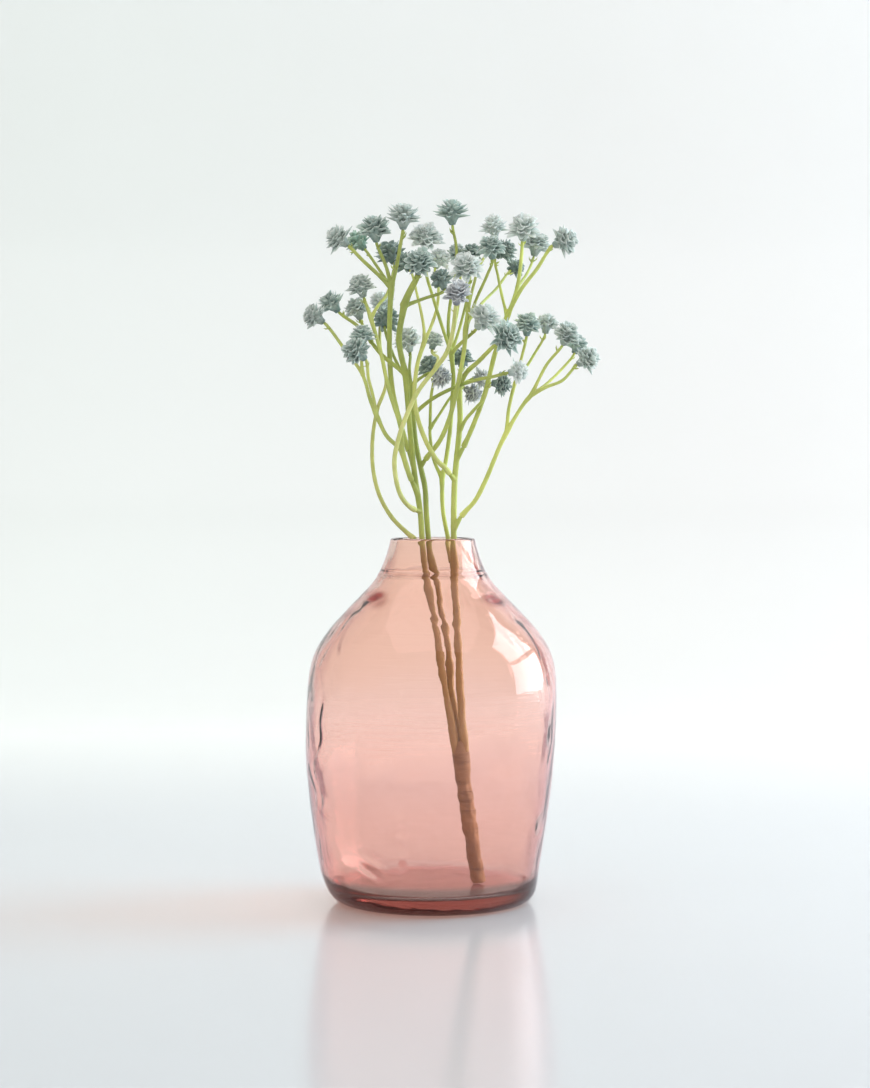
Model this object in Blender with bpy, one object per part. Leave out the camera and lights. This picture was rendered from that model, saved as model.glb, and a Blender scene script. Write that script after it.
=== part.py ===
"""Glass bud vase holding an artificial spray of succulent-like flower heads.

Frame: metres, +Z up, origin at the centre of the vase's flat resting face,
+X to the right and -Y to the front.  The vase is one blown piece of glass.
The spray stands in it on a thick handle: three stems plug into the handle,
nine side sprigs sleeve over spurs on the stems, and every flower head is
pushed on the peg at the tip of its ray.

Dimensions below are in millimetres; objects are scaled to metres when made.
"""

import math
from collections import namedtuple

import bmesh
import bpy
from mathutils import Matrix, Vector

MM = 0.001

# ---------------------------------------------------------------- dimensions
# Vase
VASE_HEIGHT = 146.0
FOOT_RADIUS = 34.0
BODY_RADIUS = 50.2
MOUTH_RADIUS = 17.0
WALL = 2.2
FLOOR = 7.0
LIP = 1.1  # radius of the rounded rim
RIM_BASE = VASE_HEIGHT - LIP
VASE_SEGMENTS = 44
OUTLINE_STEP = 0.95  # spacing of the outside rings, in knots of the outline
LEAN = -1.3  # drift of the body along X, below its shoulder
# Waviness of the glass: amplitude, lobes around, twist in radians per mm of height
WAVES = ((0.25, 2, 0.045), (0.15, 3, -0.06))

# Vase outlines, (radius, height): both run from the bottom up
VASE_OUTSIDE = [
    (FOOT_RADIUS, 0.0), (38.2, 1.0), (41.2, 4.2), (42.9, 9.0), (44.2, 16.0), (46.2, 29.0),
    (48.3, 45.0), (49.8, 61.0), (BODY_RADIUS, 78.0), (49.6, 92.0), (47.2, 101.0),
    (42.2, 109.0), (35.0, 117.0), (28.6, 123.5), (23.2, 129.5), (20.0, 135.5),
    (18.0, 141.0), (MOUTH_RADIUS, RIM_BASE),
]
VASE_INSIDE = [
    (0.0, FLOOR), (20.0, FLOOR), (33.0, FLOOR + 0.1), (38.3, FLOOR + 0.8),
    (40.3, FLOOR + 3.2), (41.9, 17.0), (44.0, 29.0), (46.1, 45.0), (49.8 - WALL, 61.0),
    (BODY_RADIUS - WALL, 78.0), (49.5 - WALL, 91.0), (44.9, 100.2), (39.9, 108.0),
    (33.0, 115.6), (26.7, 122.0), (21.2, 128.2), (17.8, 135.0), (15.8, 141.0),
    (MOUTH_RADIUS - 2 * LIP, RIM_BASE),
]

# Handle, and the sockets in its top for the three stems
HANDLE_FOOT = Vector((18.3, -3.4, 7.6))
HANDLE_TOP = Vector((11.0, -3.4, 60.5))
HANDLE_LINE = (HANDLE_FOOT, (16.2, -3.4, 22.0), (13.6, -3.4, 41.0), HANDLE_TOP)
HANDLE_AXIS = (HANDLE_TOP - HANDLE_FOOT).normalized()
HANDLE_RADII = (2.7, 2.9, 3.2, 3.5)  # evenly spread from foot to top
HANDLE_SIDES = 16
SOCKET_ANGLES = {"stem_a": 210.0, "stem_b": 90.0, "stem_c": 330.0}  # degrees about Z
SOCKET_RING = 2.0  # distance of the sockets from the handle's axis
SOCKET_RADIUS = 1.2
SOCKET_DEPTH = 8.0
SOCKET_SIDES = 8
CUTTER_RISE = 3.0  # how far a socket's cutter reaches above the stem's foot
STEM_PEG_RADIUS = 0.85
STEM_PEG_LENGTH = SOCKET_DEPTH - 0.6

# Push-fit of sprigs and heads
PEG_RADIUS = 0.42
PEG_LENGTH = 2.0
BORE_RADIUS = 0.78
BORE_DEPTH = 2.6
GAP = 0.3
SLEEVE_RADIUS = 1.2
SLEEVE_LENGTH = BORE_DEPTH + 0.6
SLEEVE_STRAIGHT = 3.6  # straight foot of a sprig
SLEEVE_EASE = 1.0  # extra distance left free of line points after the straight foot
TRUNK_RADIUS = 1.25  # thickest main stem
SLEEVE_CLEARANCE = TRUNK_RADIUS + SLEEVE_RADIUS + 0.7  # sleeve mouth to the stem's line
SPUR_SHARE = 0.95  # spur radius as a share of the sprig's radius
HEAD_NECK_RADIUS = 1.25  # foot of a head, around its socket

# Rays
RAY_SIDES = 6
RING_STEP = 9.0  # spacing of the rings along a stem
FINE_STEP = 0.5  # spacing used to find the mouth of a sleeve
MOUTH_CHORD = 4  # fine steps over which the direction of the mouth is taken
TRUNK_STEP = 2.0  # spacing of the stem's line when measuring distance to it
CURVE_STEPS = 16  # curve points from one way point to the next
LEAD_OUT = 6.0  # how far a ray's curve aims past its end, along its head's facing

# ----------------------------------------------------------------- the spray
# Head: centre of the rosette, the way it faces, radius, petals, tone
Head = namedtuple("Head", "centre facing radius petals tone")
HEADS = {
    1: Head((-38, -5, 265.5), (-0.75, -0.3, 0.55), 5.8, 6, "grey"),
    2: Head((-30.5, 9, 265.5), (-0.6, 0.2, 0.7), 5.1, 5, "teal"),
    3: Head((-23, -10, 269), (-0.1, -0.3, 0.95), 6.6, 6, "blue"),
    4: Head((-11.5, -14, 273.5), (0.05, -0.2, 0.98), 6.4, 6, "grey"),
    5: Head((7.5, 4, 277), (-0.05, -0.1, 1.0), 6.4, 6, "blue"),
    6: Head((-2.5, -6, 266), (0.1, -0.55, 0.8), 6.8, 6, "pale"),
    7: Head((-5.1, -30, 254), (0.1, -0.6, 0.75), 6.4, 6, "blue"),
    8: Head((-17.6, 16, 261.5), (-0.3, 0.3, 0.8), 5.9, 5, "dark"),
    9: Head((2.5, 8, 258.5), (0.3, 0.2, 0.8), 4.9, 5, "pale"),
    10: Head((3, -14, 248.5), (-0.3, 0.2, 0.8), 4.9, 5, "dark"),
    11: Head((10, 17, 261.5), (-0.2, 0.1, 0.9), 4.7, 5, "grey"),
    12: Head((13, -26, 252.5), (-0.05, -0.7, 0.65), 6.6, 6, "pale"),
    13: Head((24.5, 12, 272), (-0.1, -0.3, 0.9), 5.6, 6, "pale"),
    14: Head((23, -12, 261.5), (-0.1, -0.3, 0.85), 5.8, 5, "blue"),
    15: Head((29, 1, 261), (0.7, -0.3, 0.5), 5.1, 5, "dark"),
    16: Head((-11.5, 4, 256.5), (-0.5, 0.3, 0.7), 4.5, 5, "dark"),
    17: Head((36, -4, 270), (0.05, -0.45, 0.85), 6.8, 6, "pale"),
    18: Head((42, 14, 265), (0.2, -0.1, 0.9), 6.0, 6, "grey"),
    19: Head((52.5, -10, 264), (0.85, -0.35, 0.35), 6.2, 6, "grey"),
    20: Head((34, 24, 256), (0.6, 0.6, 0.4), 3.9, 5, "dark"),
    21: Head((9.5, -38, 241.5), (0.1, -0.5, 0.8), 5.8, 6, "lilac"),
    22: Head((-29, -2, 247), (-0.25, -0.2, 0.9), 5.6, 6, "grey"),
    23: Head((-41, 4, 240.5), (-0.6, -0.1, 0.75), 5.4, 5, "blue"),
    24: Head((-47.5, -6, 234.5), (-0.75, -0.2, 0.5), 5.4, 6, "grey"),
    25: Head((-31, 14, 239), (-0.3, -0.1, 0.9), 5.6, 5, "grey"),
    26: Head((-21.5, 28, 242.5), (0.0, 0.3, 0.9), 5.2, 5, "pale"),
    27: Head((-19, 20, 235), (0.1, 0.6, 0.7), 5.5, 5, "dark"),
    28: Head((-28, -10, 227), (0.0, -0.15, 1.0), 5.1, 5, "blue"),
    29: Head((-30, -24, 220), (-0.6, -0.4, 0.6), 6.0, 6, "blue"),
    30: Head((-10.6, 16, 226.5), (-0.2, -0.3, 0.8), 6.2, 5, "pale"),
    31: Head((0.5, 4, 225.5), (0.2, 0.0, 0.8), 4.1, 5, "grey"),
    32: Head((-1.4, 10, 215.6), (-0.3, 0.2, 0.8), 5.0, 5, "dark"),
    33: Head((3.5, 1, 210.5), (0.8, -0.3, -0.3), 4.7, 5, "lilac"),
    34: Head((20.5, -16, 233.5), (0.5, -0.3, 0.7), 6.8, 6, "pale"),
    35: Head((28.7, -30, 225), (0.6, -0.65, 0.4), 6.9, 6, "blue"),
    36: Head((37.5, -6, 231.5), (0.05, -0.3, 0.9), 5.6, 6, "blue"),
    37: Head((45.5, 4, 232.5), (0.1, 0.0, 0.95), 4.9, 5, "grey"),
    38: Head((53, -14, 227), (0.3, -0.5, 0.75), 5.8, 6, "grey"),
    39: Head((58, 4, 224), (0.3, 0.2, 0.9), 4.5, 5, "blue"),
    40: Head((61.5, -10, 217.5), (0.75, -0.3, 0.45), 5.6, 6, "grey"),
    41: Head((33.5, -32, 211.5), (0.9, 0.1, 0.15), 4.7, 5, "pale"),
    42: Head((12, 20, 219), (0.1, 0.5, 0.8), 4.8, 5, "dark"),
    43: Head((20, 12, 210.5), (0.9, 0.2, 0.2), 4.3, 5, "lilac"),
    44: Head((27.5, -15, 207), (0.9, -0.1, -0.1), 4.7, 5, "dark"),
    45: Head((16.5, 16, 204), (0.7, -0.2, -0.5), 4.5, 5, "lilac"),
    46: Head((15.8, 9, 260.9), (0.1, 0.0, 0.95), 4.6, 5, "dark"),
}
TONES = {
    "grey": (0.33, 0.38, 0.39),
    "pale": (0.56, 0.60, 0.60),
    "blue": (0.24, 0.33, 0.37),
    "teal": (0.20, 0.34, 0.33),
    "dark": (0.10, 0.16, 0.18),
    "lilac": (0.34, 0.33, 0.40),
}

# Run: way points, radius at the start and at the end, and the number of the head
# it carries (None where it only carries other runs).
# Piece: the piece it stands on, its green, and its runs.  The first point of a
# later run lies on an earlier run; the first point of a sprig lies on its parent.
Run = namedtuple("Run", "points start_radius end_radius head", defaults=(None,))
Piece = namedtuple("Piece", "parent green runs")
PIECES = {
    "stem_a": Piece("stem_handle", (0.20, 0.23, 0.06), [
        Run([(9.3, -4.6, 60.5), (6, -3.8, 79), (2.2, -2.6, 102), (-1.6, -1.4, 123),
             (-4.1, -0.4, 143), (-5.1, -0.6, 156.5), (-7, -1.5, 169), (-8.4, -2.5, 181),
             (-9.8, -3.5, 197), (-11, -4.5, 211.5)], 1.2, 1.0),
        Run([(-11, -4.5, 211.5), (-20.4, -5, 219), (-24.5, -4, 224), (-30, -1, 230.5)],
            0.85, 0.6, 23),
        Run([(-24.5, -4, 224), (-27, 3, 229)], 0.65, 0.55, 25),
        Run([(-11, -4.5, 211.5), (-13.4, -12, 224.5), (-11.4, -18, 237.5)], 1.05, 1.15),
        Run([(-11.4, -18, 237.5), (-9.8, -21, 241.5)], 1.35, 1.05, 7),
        Run([(-11.4, -18, 237.5), (-3.5, -16.5, 240.5)], 0.7, 0.55, 10),
    ]),
    "stem_b": Piece("stem_handle", (0.16, 0.20, 0.05), [
        Run([(11, -1.4, 60.5), (7.8, 0.4, 82.5), (5.2, 2, 107), (2, 3, 125),
             (-1.2, 3.8, 141), (-2.6, 4, 155), (-3.2, 3.8, 166), (-5, 3.6, 174.5),
             (-7, 4.6, 184.5), (-8, 6.2, 195.5), (-9, 8, 207)], 1.15, 0.95),
        Run([(-9, 8, 207), (-9.5, 13, 214)], 0.7, 0.55, 30),
        Run([(-9, 8, 207), (-13.5, 15, 214.5), (-17, 19, 222)], 0.7, 0.55, 27),
        Run([(-9, 8, 207), (-5.2, 6, 210)], 0.65, 0.55, 33),
        Run([(-8, 6.2, 195.5), (-1.2, 1, 201), (5.2, -4, 204.5), (16.5, -15, 208.5),
             (23, -24, 209.5)], 0.75, 0.6, 41),
    ]),
    "stem_c": Piece("stem_handle", (0.22, 0.25, 0.07), [
        Run([(12.7, -4.6, 60.5), (11.2, -3, 79), (10, -1.4, 101), (9, 0.2, 129),
             (8.3, 1, 149), (8.7, 1, 169), (9.4, 0.5, 177), (10.8, 0, 193),
             (10.4, 0, 206)], 1.25, 1.05),
        Run([(10.4, 0, 206), (13, -6, 211.5), (18, -15, 216)], 0.95, 0.75, 35),
        Run([(10.4, 0, 206), (11, 9, 211)], 0.7, 0.55, 42),
        Run([(10.4, 0, 206), (13.3, 5, 208.5)], 0.7, 0.55, 43),
        Run([(10.7, 0, 189), (13.2, -4, 193.5), (16.7, -8.5, 197.5), (20.2, -12, 201.5)],
            0.7, 0.55, 44),
    ]),
    "sprig_01": Piece("stem_a", (0.42, 0.42, 0.14), [
        Run([(-4.1, -0.4, 143), (-10.4, 3, 148), (-16.4, 4.5, 154), (-21.3, 5, 162.5),
             (-24, 5, 173), (-24.3, 6, 185.5), (-22.4, 8, 197.5), (-19, 11, 207.5),
             (-20, 18, 216), (-21.7, 25, 224.5)], 0.85, 0.6, 26),
    ]),
    "sprig_02": Piece("stem_a", (0.34, 0.36, 0.11), [
        Run([(-6, -1, 163), (-10, -6.5, 173), (-12.5, -9, 181.5)], 1.0, 0.95),
        Run([(-12.5, -9, 181.5), (-18.2, -9.5, 186.5), (-22.4, -10.5, 195)], 0.8, 0.75),
        Run([(-22.4, -10.5, 195), (-24.7, -11, 200.5), (-27.7, -11, 210.5), (-35, -8, 221)],
            0.7, 0.6, 24),
        Run([(-27.7, -11, 210.5), (-28.2, -11, 216)], 0.6, 0.55, 28),
        Run([(-22.4, -10.5, 195), (-23.7, -14, 202.5), (-25.3, -18, 209)], 0.7, 0.6, 29),
        Run([(-12.5, -9, 181.5), (-12.3, -10, 186.5), (-13.2, -11, 191.5), (-17.4, -11, 205),
             (-21, -9, 221), (-24.7, -5, 233.5)], 0.8, 0.7),
        Run([(-24.7, -5, 233.5), (-26, -4, 237.5)], 0.65, 0.6, 22),
        Run([(-24.7, -5, 233.5), (-22, -1, 238.5), (-18.5, 5, 243.5), (-16.5, 11, 251)],
            0.65, 0.55, 8),
    ]),
    "sprig_03": Piece("stem_a", (0.48, 0.47, 0.17), [
        Run([(-5.1, -0.6, 156.5), (-8.4, -5, 158), (-11.5, -9, 161), (-13.8, -12, 166),
             (-15.2, -15, 176.5), (-13.4, -17, 186), (-10.2, -19, 195), (-5.9, -19, 204),
             (1, -19, 213), (5, -21, 218.5), (7.5, -27, 226)], 0.9, 0.8, 21),
        Run([(1, -19, 213), (2, -10, 217.5)], 0.6, 0.5, 31),
    ]),
    "sprig_04": Piece("stem_a", (0.26, 0.29, 0.08), [
        Run([(-7.8, -2, 175), (-12.4, 3.5, 189.5), (-16.3, 4, 205.5), (-17.4, 2, 221.5),
             (-17, -3, 239), (-16.5, -4, 245.5)], 0.95, 1.0),
        Run([(-16.5, -4, 245.5), (-22, -4, 251), (-28, -5, 256.5)], 0.8, 0.65, 1),
        Run([(-16.5, -4, 245.5), (-21.3, 3, 253)], 0.65, 0.55, 2),
        Run([(-16.5, -4, 245.5), (-18.5, -7, 253.5)], 0.75, 0.6, 3),
        Run([(-16.5, -4, 245.5), (-14.5, -8, 253.5), (-13, -12, 261)], 0.75, 0.65, 4),
    ]),
    "sprig_05": Piece("stem_c", (0.44, 0.43, 0.15), [
        Run([(8.7, 1, 169), (4.8, -4, 174), (1.2, -7, 177.5), (-4.4, -9, 188.5),
             (-7.3, -9, 201), (-6.2, -5, 215), (-3.4, -1, 224.5)], 0.95, 0.75),
        Run([(-3.4, -1, 224.5), (-3.8, 0, 231), (-6.5, 3, 244)], 0.6, 0.5, 16),
        Run([(-3.4, -1, 224.5), (-1.2, 1, 229.5), (1.5, 5, 238), (2.2, 7, 246)],
            0.65, 0.55, 9),
    ]),
    "sprig_06": Piece("stem_c", (0.25, 0.28, 0.08), [
        Run([(9, 0.2, 129), (7.6, 4, 136.5), (6.2, 6, 145), (4, 6, 157), (3.6, 6, 170)],
            0.85, 0.8),
        Run([(3.6, 6, 170), (0.4, 8, 177), (-1.2, 10, 187.5), (-1.2, 10.2, 190),
             (-0.8, 10, 202.5)], 0.65, 0.55, 32),
        Run([(-1.2, 10.2, 190), (2.8, 13, 196), (7, 15.5, 202.5), (11.5, 17, 207.5)],
            0.6, 0.5, 45),
        Run([(3.6, 6, 170), (5, 7, 176), (6.9, 9, 189.5), (7.9, 10, 202.5),
             (8.2, 8.5, 210), (7.4, 5, 220)], 0.8, 0.85),
        Run([(7.4, 5, 220), (4.2, 4, 229), (-0.6, 0, 244), (-2.6, -2, 251)], 0.7, 0.55, 6),
        Run([(7.4, 5, 220), (6.2, 7, 228), (6.5, 8, 237), (9.3, 9, 254), (9.3, 7, 263)],
            0.7, 0.55, 5),
        Run([(7.4, 5, 220), (10.4, -2, 223), (14, -9, 226)], 0.75, 0.6, 34),
        Run([(7.4, 5, 220), (8.1, 12, 228), (10, 17, 238), (11, 18.5, 248.5)], 0.6, 0.5, 11),
        Run([(7.4, 5, 220), (11.2, 8, 232), (14.4, 9, 246)], 0.6, 0.5, 46),
    ]),
    "sprig_07": Piece("stem_b", (0.30, 0.33, 0.10), [
        Run([(-5, 3.6, 174.5), (-2.2, 1, 178.5), (2.8, -3, 185), (6.6, -7, 194),
             (9.5, -12, 205.5), (12.2, -13, 220), (12.8, -14, 228)], 0.9, 0.8),
        Run([(12.8, -14, 228), (13.6, -16, 235.5), (14, -18, 241.5)], 0.75, 0.65, 12),
        Run([(12.8, -14, 228), (14.7, -8, 233.5), (17, -4, 240.5), (21.5, -6, 250.5)],
            0.65, 0.55, 14),
        Run([(14.7, -8, 233.5), (20, 6, 240.5), (26, 15, 247)], 0.6, 0.5, 20),
        Run([(13.6, -16, 235.5), (16, -7, 246), (18.5, 4, 254.5), (22.5, 11, 262)],
            0.6, 0.5, 13),
    ]),
    "sprig_08": Piece("stem_c", (0.33, 0.35, 0.11), [
        Run([(9.4, 0.5, 177), (12, -2, 182), (16, -4, 191), (20.7, -7, 204),
             (24.6, -8, 219.5), (29.4, -7, 234)], 0.9, 0.85),
        Run([(29.4, -7, 234), (27.5, -4, 242), (26, -1, 250)], 0.6, 0.5, 15),
        Run([(29.4, -7, 234), (31.4, -6, 239), (33.4, -5, 245.5), (34.7, -4, 253.5)],
            0.8, 0.65, 17),
        Run([(33.4, -5, 245.5), (38, 6, 252.5)], 0.6, 0.5, 18),
        Run([(29.4, -7, 234), (32, -11, 239.5), (35.2, -12, 245), (41, -11, 252.5)],
            0.8, 0.65, 19),
    ]),
    "sprig_09": Piece("stem_c", (0.40, 0.41, 0.13), [
        Run([(8.3, 1, 149), (10.8, 0, 154), (16.8, -2, 161), (20.7, -3, 168.5),
             (26.7, -5, 183), (29.4, -6, 188.5)], 0.9, 0.8),
        Run([(29.4, -6, 188.5), (30, -5, 196.5), (31.7, -4, 204.5), (33.5, -3, 210.5)],
            0.7, 0.65),
        Run([(33.5, -3, 210.5), (35, -4, 217)], 0.6, 0.55, 36),
        Run([(33.5, -3, 210.5), (37, 1, 214), (40.5, 3, 219.5)], 0.6, 0.5, 37),
        Run([(29.4, -6, 188.5), (32.5, -8, 194), (36, -10, 199.5), (39, -11, 203)],
            0.75, 0.7),
        Run([(39, -11, 203), (41.5, -13, 208.5), (45, -13, 215)], 0.65, 0.55, 38),
        Run([(39, -11, 203), (44.6, -5, 207), (50, 0, 212)], 0.6, 0.5, 39),
        Run([(39, -11, 203), (45, -12, 206), (51, -12, 208.5)], 0.65, 0.55, 40),
    ]),
}


# ------------------------------------------------------------------- objects
def clear_scene():
    for obj in list(bpy.data.objects):
        bpy.data.objects.remove(obj, do_unlink=True)


def material(name, colour, roughness, transmission=0.0):
    made = bpy.data.materials.new(name)
    made.use_nodes = True
    shader = made.node_tree.nodes["Principled BSDF"]
    shader.inputs["Base Color"].default_value = (*colour, 1.0)
    shader.inputs["Roughness"].default_value = roughness
    shader.inputs["Transmission Weight"].default_value = transmission
    return made


def place_mesh(name, mesh, origin, finish, sharp_angle):
    """A smooth-shaded object of a finished mesh, in the scene at its origin."""
    mesh.shade_smooth()
    mesh.set_sharp_from_angle(angle=math.radians(sharp_angle))
    if finish:
        mesh.materials.append(finish)
    obj = bpy.data.objects.new(name, mesh)
    obj.location = origin * MM
    bpy.context.scene.collection.objects.link(obj)
    return obj


def object_of(name, bm, origin, finish=None):
    """An object from a bmesh in millimetres; the bmesh is used up."""
    bmesh.ops.translate(bm, verts=bm.verts, vec=-origin)
    bmesh.ops.scale(bm, verts=bm.verts, vec=(MM, MM, MM))
    bmesh.ops.recalc_face_normals(bm, faces=bm.faces)
    mesh = bpy.data.meshes.new(name)
    bm.to_mesh(mesh)
    bm.free()
    return place_mesh(name, mesh, origin, finish, sharp_angle=45)


def add_boolean(target, name, operation, other):
    modifier = target.modifiers.new(name, "BOOLEAN")
    modifier.operation = operation
    modifier.solver = "EXACT"
    modifier.object = other


def fused(name, shapes, origin, finish):
    """One body from several closed bmeshes, joined by an exact Boolean union."""
    parts = [object_of(f"{name}_raw{k}", bm, origin) for k, bm in enumerate(shapes)]
    base = parts[0]
    for other in parts[1:]:
        add_boolean(base, "join", "UNION", other)
    bpy.context.view_layer.update()
    graph = bpy.context.evaluated_depsgraph_get()
    mesh = bpy.data.meshes.new_from_object(base.evaluated_get(graph))
    mesh.name = name
    for part in parts:
        bpy.data.objects.remove(part, do_unlink=True)
    mesh.materials.clear()
    return place_mesh(name, mesh, origin, finish, sharp_angle=50)


# -------------------------------------------------------------------- shapes
def skin(bm, rings):
    """Walls from ring to ring, and a flat face over the first ring."""
    sides = len(rings[0])
    for low, high in zip(rings, rings[1:]):
        for k in range(sides):
            n = (k + 1) % sides
            bm.faces.new((low[k], low[n], high[n], high[k]))
    bm.faces.new(list(reversed(rings[0])))


def fan(bm, ring, height):
    """Triangles from a ring to a point on the Z axis."""
    tip = bm.verts.new((0.0, 0.0, height))
    for k in range(len(ring)):
        bm.faces.new((ring[k], ring[(k + 1) % len(ring)], tip))


def tube(stations, sides=RAY_SIDES):
    """A closed tube through (point, radius, direction) stations, with flat ends.

    A station may step back along the line, which turns the tube's skin inside
    and makes a blind bore.
    """
    bm = bmesh.new()
    side = stations[0][2].normalized().orthogonal().normalized()
    rings = []
    for point, radius, way in stations:
        way = way.normalized()
        side = (side - way * side.dot(way)).normalized()
        up = way.cross(side)
        rings.append([
            bm.verts.new(point + (side * math.cos(angle) + up * math.sin(angle)) * radius)
            for angle in (2 * math.pi * k / sides for k in range(sides))
        ])
    skin(bm, rings)
    bm.faces.new(rings[-1])
    return bm


def ball(centre, radius):
    bm = bmesh.new()
    bmesh.ops.create_icosphere(
        bm, subdivisions=1, radius=radius, matrix=Matrix.Translation(centre))
    return bm


# --------------------------------------------------------------------- lines
def blend(start, end, start_time, end_time, time):
    span = end_time - start_time
    return start * ((end_time - time) / span) + end * ((time - start_time) / span)


def smooth_line(points, step=RING_STEP, lead_out=None):
    """Evenly spaced points of a centripetal Catmull-Rom curve through the way points."""
    points = [Vector(point) for point in points]
    first = points[0] * 2 - points[1]
    last = lead_out or points[-1] * 2 - points[-2]
    line = [first, *points, last]
    dense = [points[0]]
    for window in zip(line, line[1:], line[2:], line[3:]):
        times = [0.0]
        for start, end in zip(window, window[1:]):
            times.append(times[-1] + (end - start).length ** 0.5)
        for k in range(1, CURVE_STEPS + 1):
            time = times[1] + (times[2] - times[1]) * k / CURVE_STEPS
            before, middle, after = (
                blend(window[i], window[i + 1], times[i], times[i + 1], time)
                for i in range(3)
            )
            early = blend(before, middle, times[0], times[2], time)
            late = blend(middle, after, times[1], times[3], time)
            dense.append(blend(early, late, times[1], times[2], time))
    return resample(dense, step)


def resample(dense, step):
    """Points at an even spacing close to the step, both ends included."""
    lengths = [0.0]
    for start, end in zip(dense, dense[1:]):
        lengths.append(lengths[-1] + (end - start).length)
    count = max(2, round(lengths[-1] / step) + 1)
    spaced = []
    k = 0
    for i in range(count):
        want = lengths[-1] * i / (count - 1)
        while k < len(dense) - 2 and lengths[k + 1] < want:
            k += 1
        share = (want - lengths[k]) / (lengths[k + 1] - lengths[k])
        spaced.append(dense[k].lerp(dense[k + 1], min(1.0, share)))
    return spaced


def stations_of(line, radii, end_way=None):
    """Tube stations along a line, its radius passing evenly through the given radii."""
    count = len(line) - 1
    stations = []
    for k, point in enumerate(line):
        way = (line[min(k + 1, count)] - line[max(k - 1, 0)]).normalized()
        if k == count and end_way is not None:
            way = end_way
        place = (len(radii) - 1) * k / count
        low = min(int(place), len(radii) - 2)
        radius = radii[low] + (radii[low + 1] - radii[low]) * (place - low)
        stations.append((point, radius, way))
    return stations


def distance_to(point, line):
    """Shortest distance from a point to a line of straight pieces."""
    distances = []
    for start, end in zip(line, line[1:]):
        span = end - start
        share = max(0.0, min(1.0, (point - start).dot(span) / span.length_squared))
        distances.append((point - start - span * share).length)
    return min(distances)


# ---------------------------------------------------------------------- vase
def outline_point(knots, place):
    """Catmull-Rom point of an outline; the place is counted in knots."""
    k = min(int(place), len(knots) - 2)
    u = place - k
    before, start, end, after = (
        Vector(knots[min(max(k + j, 0), len(knots) - 1)]) for j in (-1, 0, 1, 2)
    )
    return 0.5 * (2 * start + (end - before) * u
                  + (2 * before - 5 * start + 4 * end - after) * u * u
                  + (3 * start - before - 3 * end + after) * u ** 3)


def vase_profile():
    """(radius, height) pairs: up the outside, over the lip and down the inside."""
    steps = int((len(VASE_OUTSIDE) - 1) / OUTLINE_STEP) + 1
    outside = [outline_point(VASE_OUTSIDE, k * OUTLINE_STEP) for k in range(steps)]
    lip_centre = Vector((MOUTH_RADIUS - LIP, RIM_BASE))
    lip = [
        lip_centre + LIP * Vector((math.cos(angle), math.sin(angle)))
        for angle in map(math.radians, (45, 90, 135))
    ]
    return [*outside, VASE_OUTSIDE[-1], *lip, *reversed(VASE_INSIDE)]


def clamp(share):
    return min(1.0, max(0.0, share))


def blown(radius, height, angle):
    """A point of the turned profile, with the lean and waviness of free-blown glass."""
    # Both fade out at the foot and near the axis; the lean also fades towards the shoulder.
    lean = LEAN * clamp((height - 1.0) / 12.0) * clamp((105.0 - height) / 45.0)
    wave = sum(size * math.sin(lobes * angle + twist * height) for size, lobes, twist in WAVES)
    wavy = radius + wave * clamp(radius / 20.0) * clamp((height - 1.0) / 20.0)
    x = wavy * math.cos(angle) + lean * clamp(radius / 30.0)
    return Vector((x, wavy * math.sin(angle), height))


def build_vase():
    bm = bmesh.new()
    *profile, floor_centre = vase_profile()
    rings = [
        [bm.verts.new(blown(radius, height, 2 * math.pi * k / VASE_SEGMENTS))
         for k in range(VASE_SEGMENTS)]
        for radius, height in profile
    ]
    skin(bm, rings)
    fan(bm, rings[-1], floor_centre[1])
    glass = material("rose_glass", (0.80, 0.45, 0.42), roughness=0.03, transmission=1.0)
    object_of("vase", bm, Vector((0, 0, 0)), glass)


# -------------------------------------------------------------------- handle
def stem_foot(name):
    """Foot of a main stem, just above the top of the handle."""
    turn = math.radians(SOCKET_ANGLES[name])
    side = Vector((math.cos(turn), math.sin(turn), 0.0))
    side = (side - HANDLE_AXIS * side.dot(HANDLE_AXIS)).normalized()
    return HANDLE_TOP + side * SOCKET_RING + HANDLE_AXIS * GAP


def build_cutter(name):
    """Hidden helper that cuts the socket of a main stem."""
    foot = stem_foot(name)
    ends = (foot - HANDLE_AXIS * SOCKET_DEPTH, foot + HANDLE_AXIS * CUTTER_RISE)
    bm = tube([(end, SOCKET_RADIUS, HANDLE_AXIS) for end in ends], SOCKET_SIDES)
    cutter = object_of(f"socket_of_{name}", bm, foot)
    cutter.hide_render = True
    cutter.display_type = "WIRE"
    return cutter


def build_handle():
    """The handle, followed by the cutters of its sockets."""
    stations = stations_of(smooth_line(HANDLE_LINE), HANDLE_RADII, HANDLE_AXIS)
    olive = material("handle_olive", (0.16, 0.15, 0.06), roughness=0.5)
    handle = object_of("stem_handle", tube(stations, HANDLE_SIDES), HANDLE_FOOT, olive)
    cutters = []
    for name in SOCKET_ANGLES:
        cutter = build_cutter(name)
        add_boolean(handle, f"socket_{name}", "DIFFERENCE", cutter)
        cutters.append(cutter)
    return [handle, *cutters]


# ---------------------------------------------------------- stems and sprigs
def cup_height(radius):
    """Height of a head's cup, from the mouth of its socket to the rosette's centre."""
    return 0.75 * radius + 1.0


def head_seat(number):
    """(mouth of the head's socket, the way the head faces)."""
    head = HEADS[number]
    way = Vector(head.facing).normalized()
    return Vector(head.centre) - way * cup_height(head.radius), way


def end_way(run):
    """The way the run's head faces, or None for a run without a head."""
    return head_seat(run.head)[1] if run.head else None


def run_line(run, step=RING_STEP):
    if run.head is None:
        return smooth_line(run.points, step)
    seat, way = head_seat(run.head)
    end = seat - way * GAP
    return smooth_line([*run.points, end], step, lead_out=end + way * LEAD_OUT)


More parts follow.
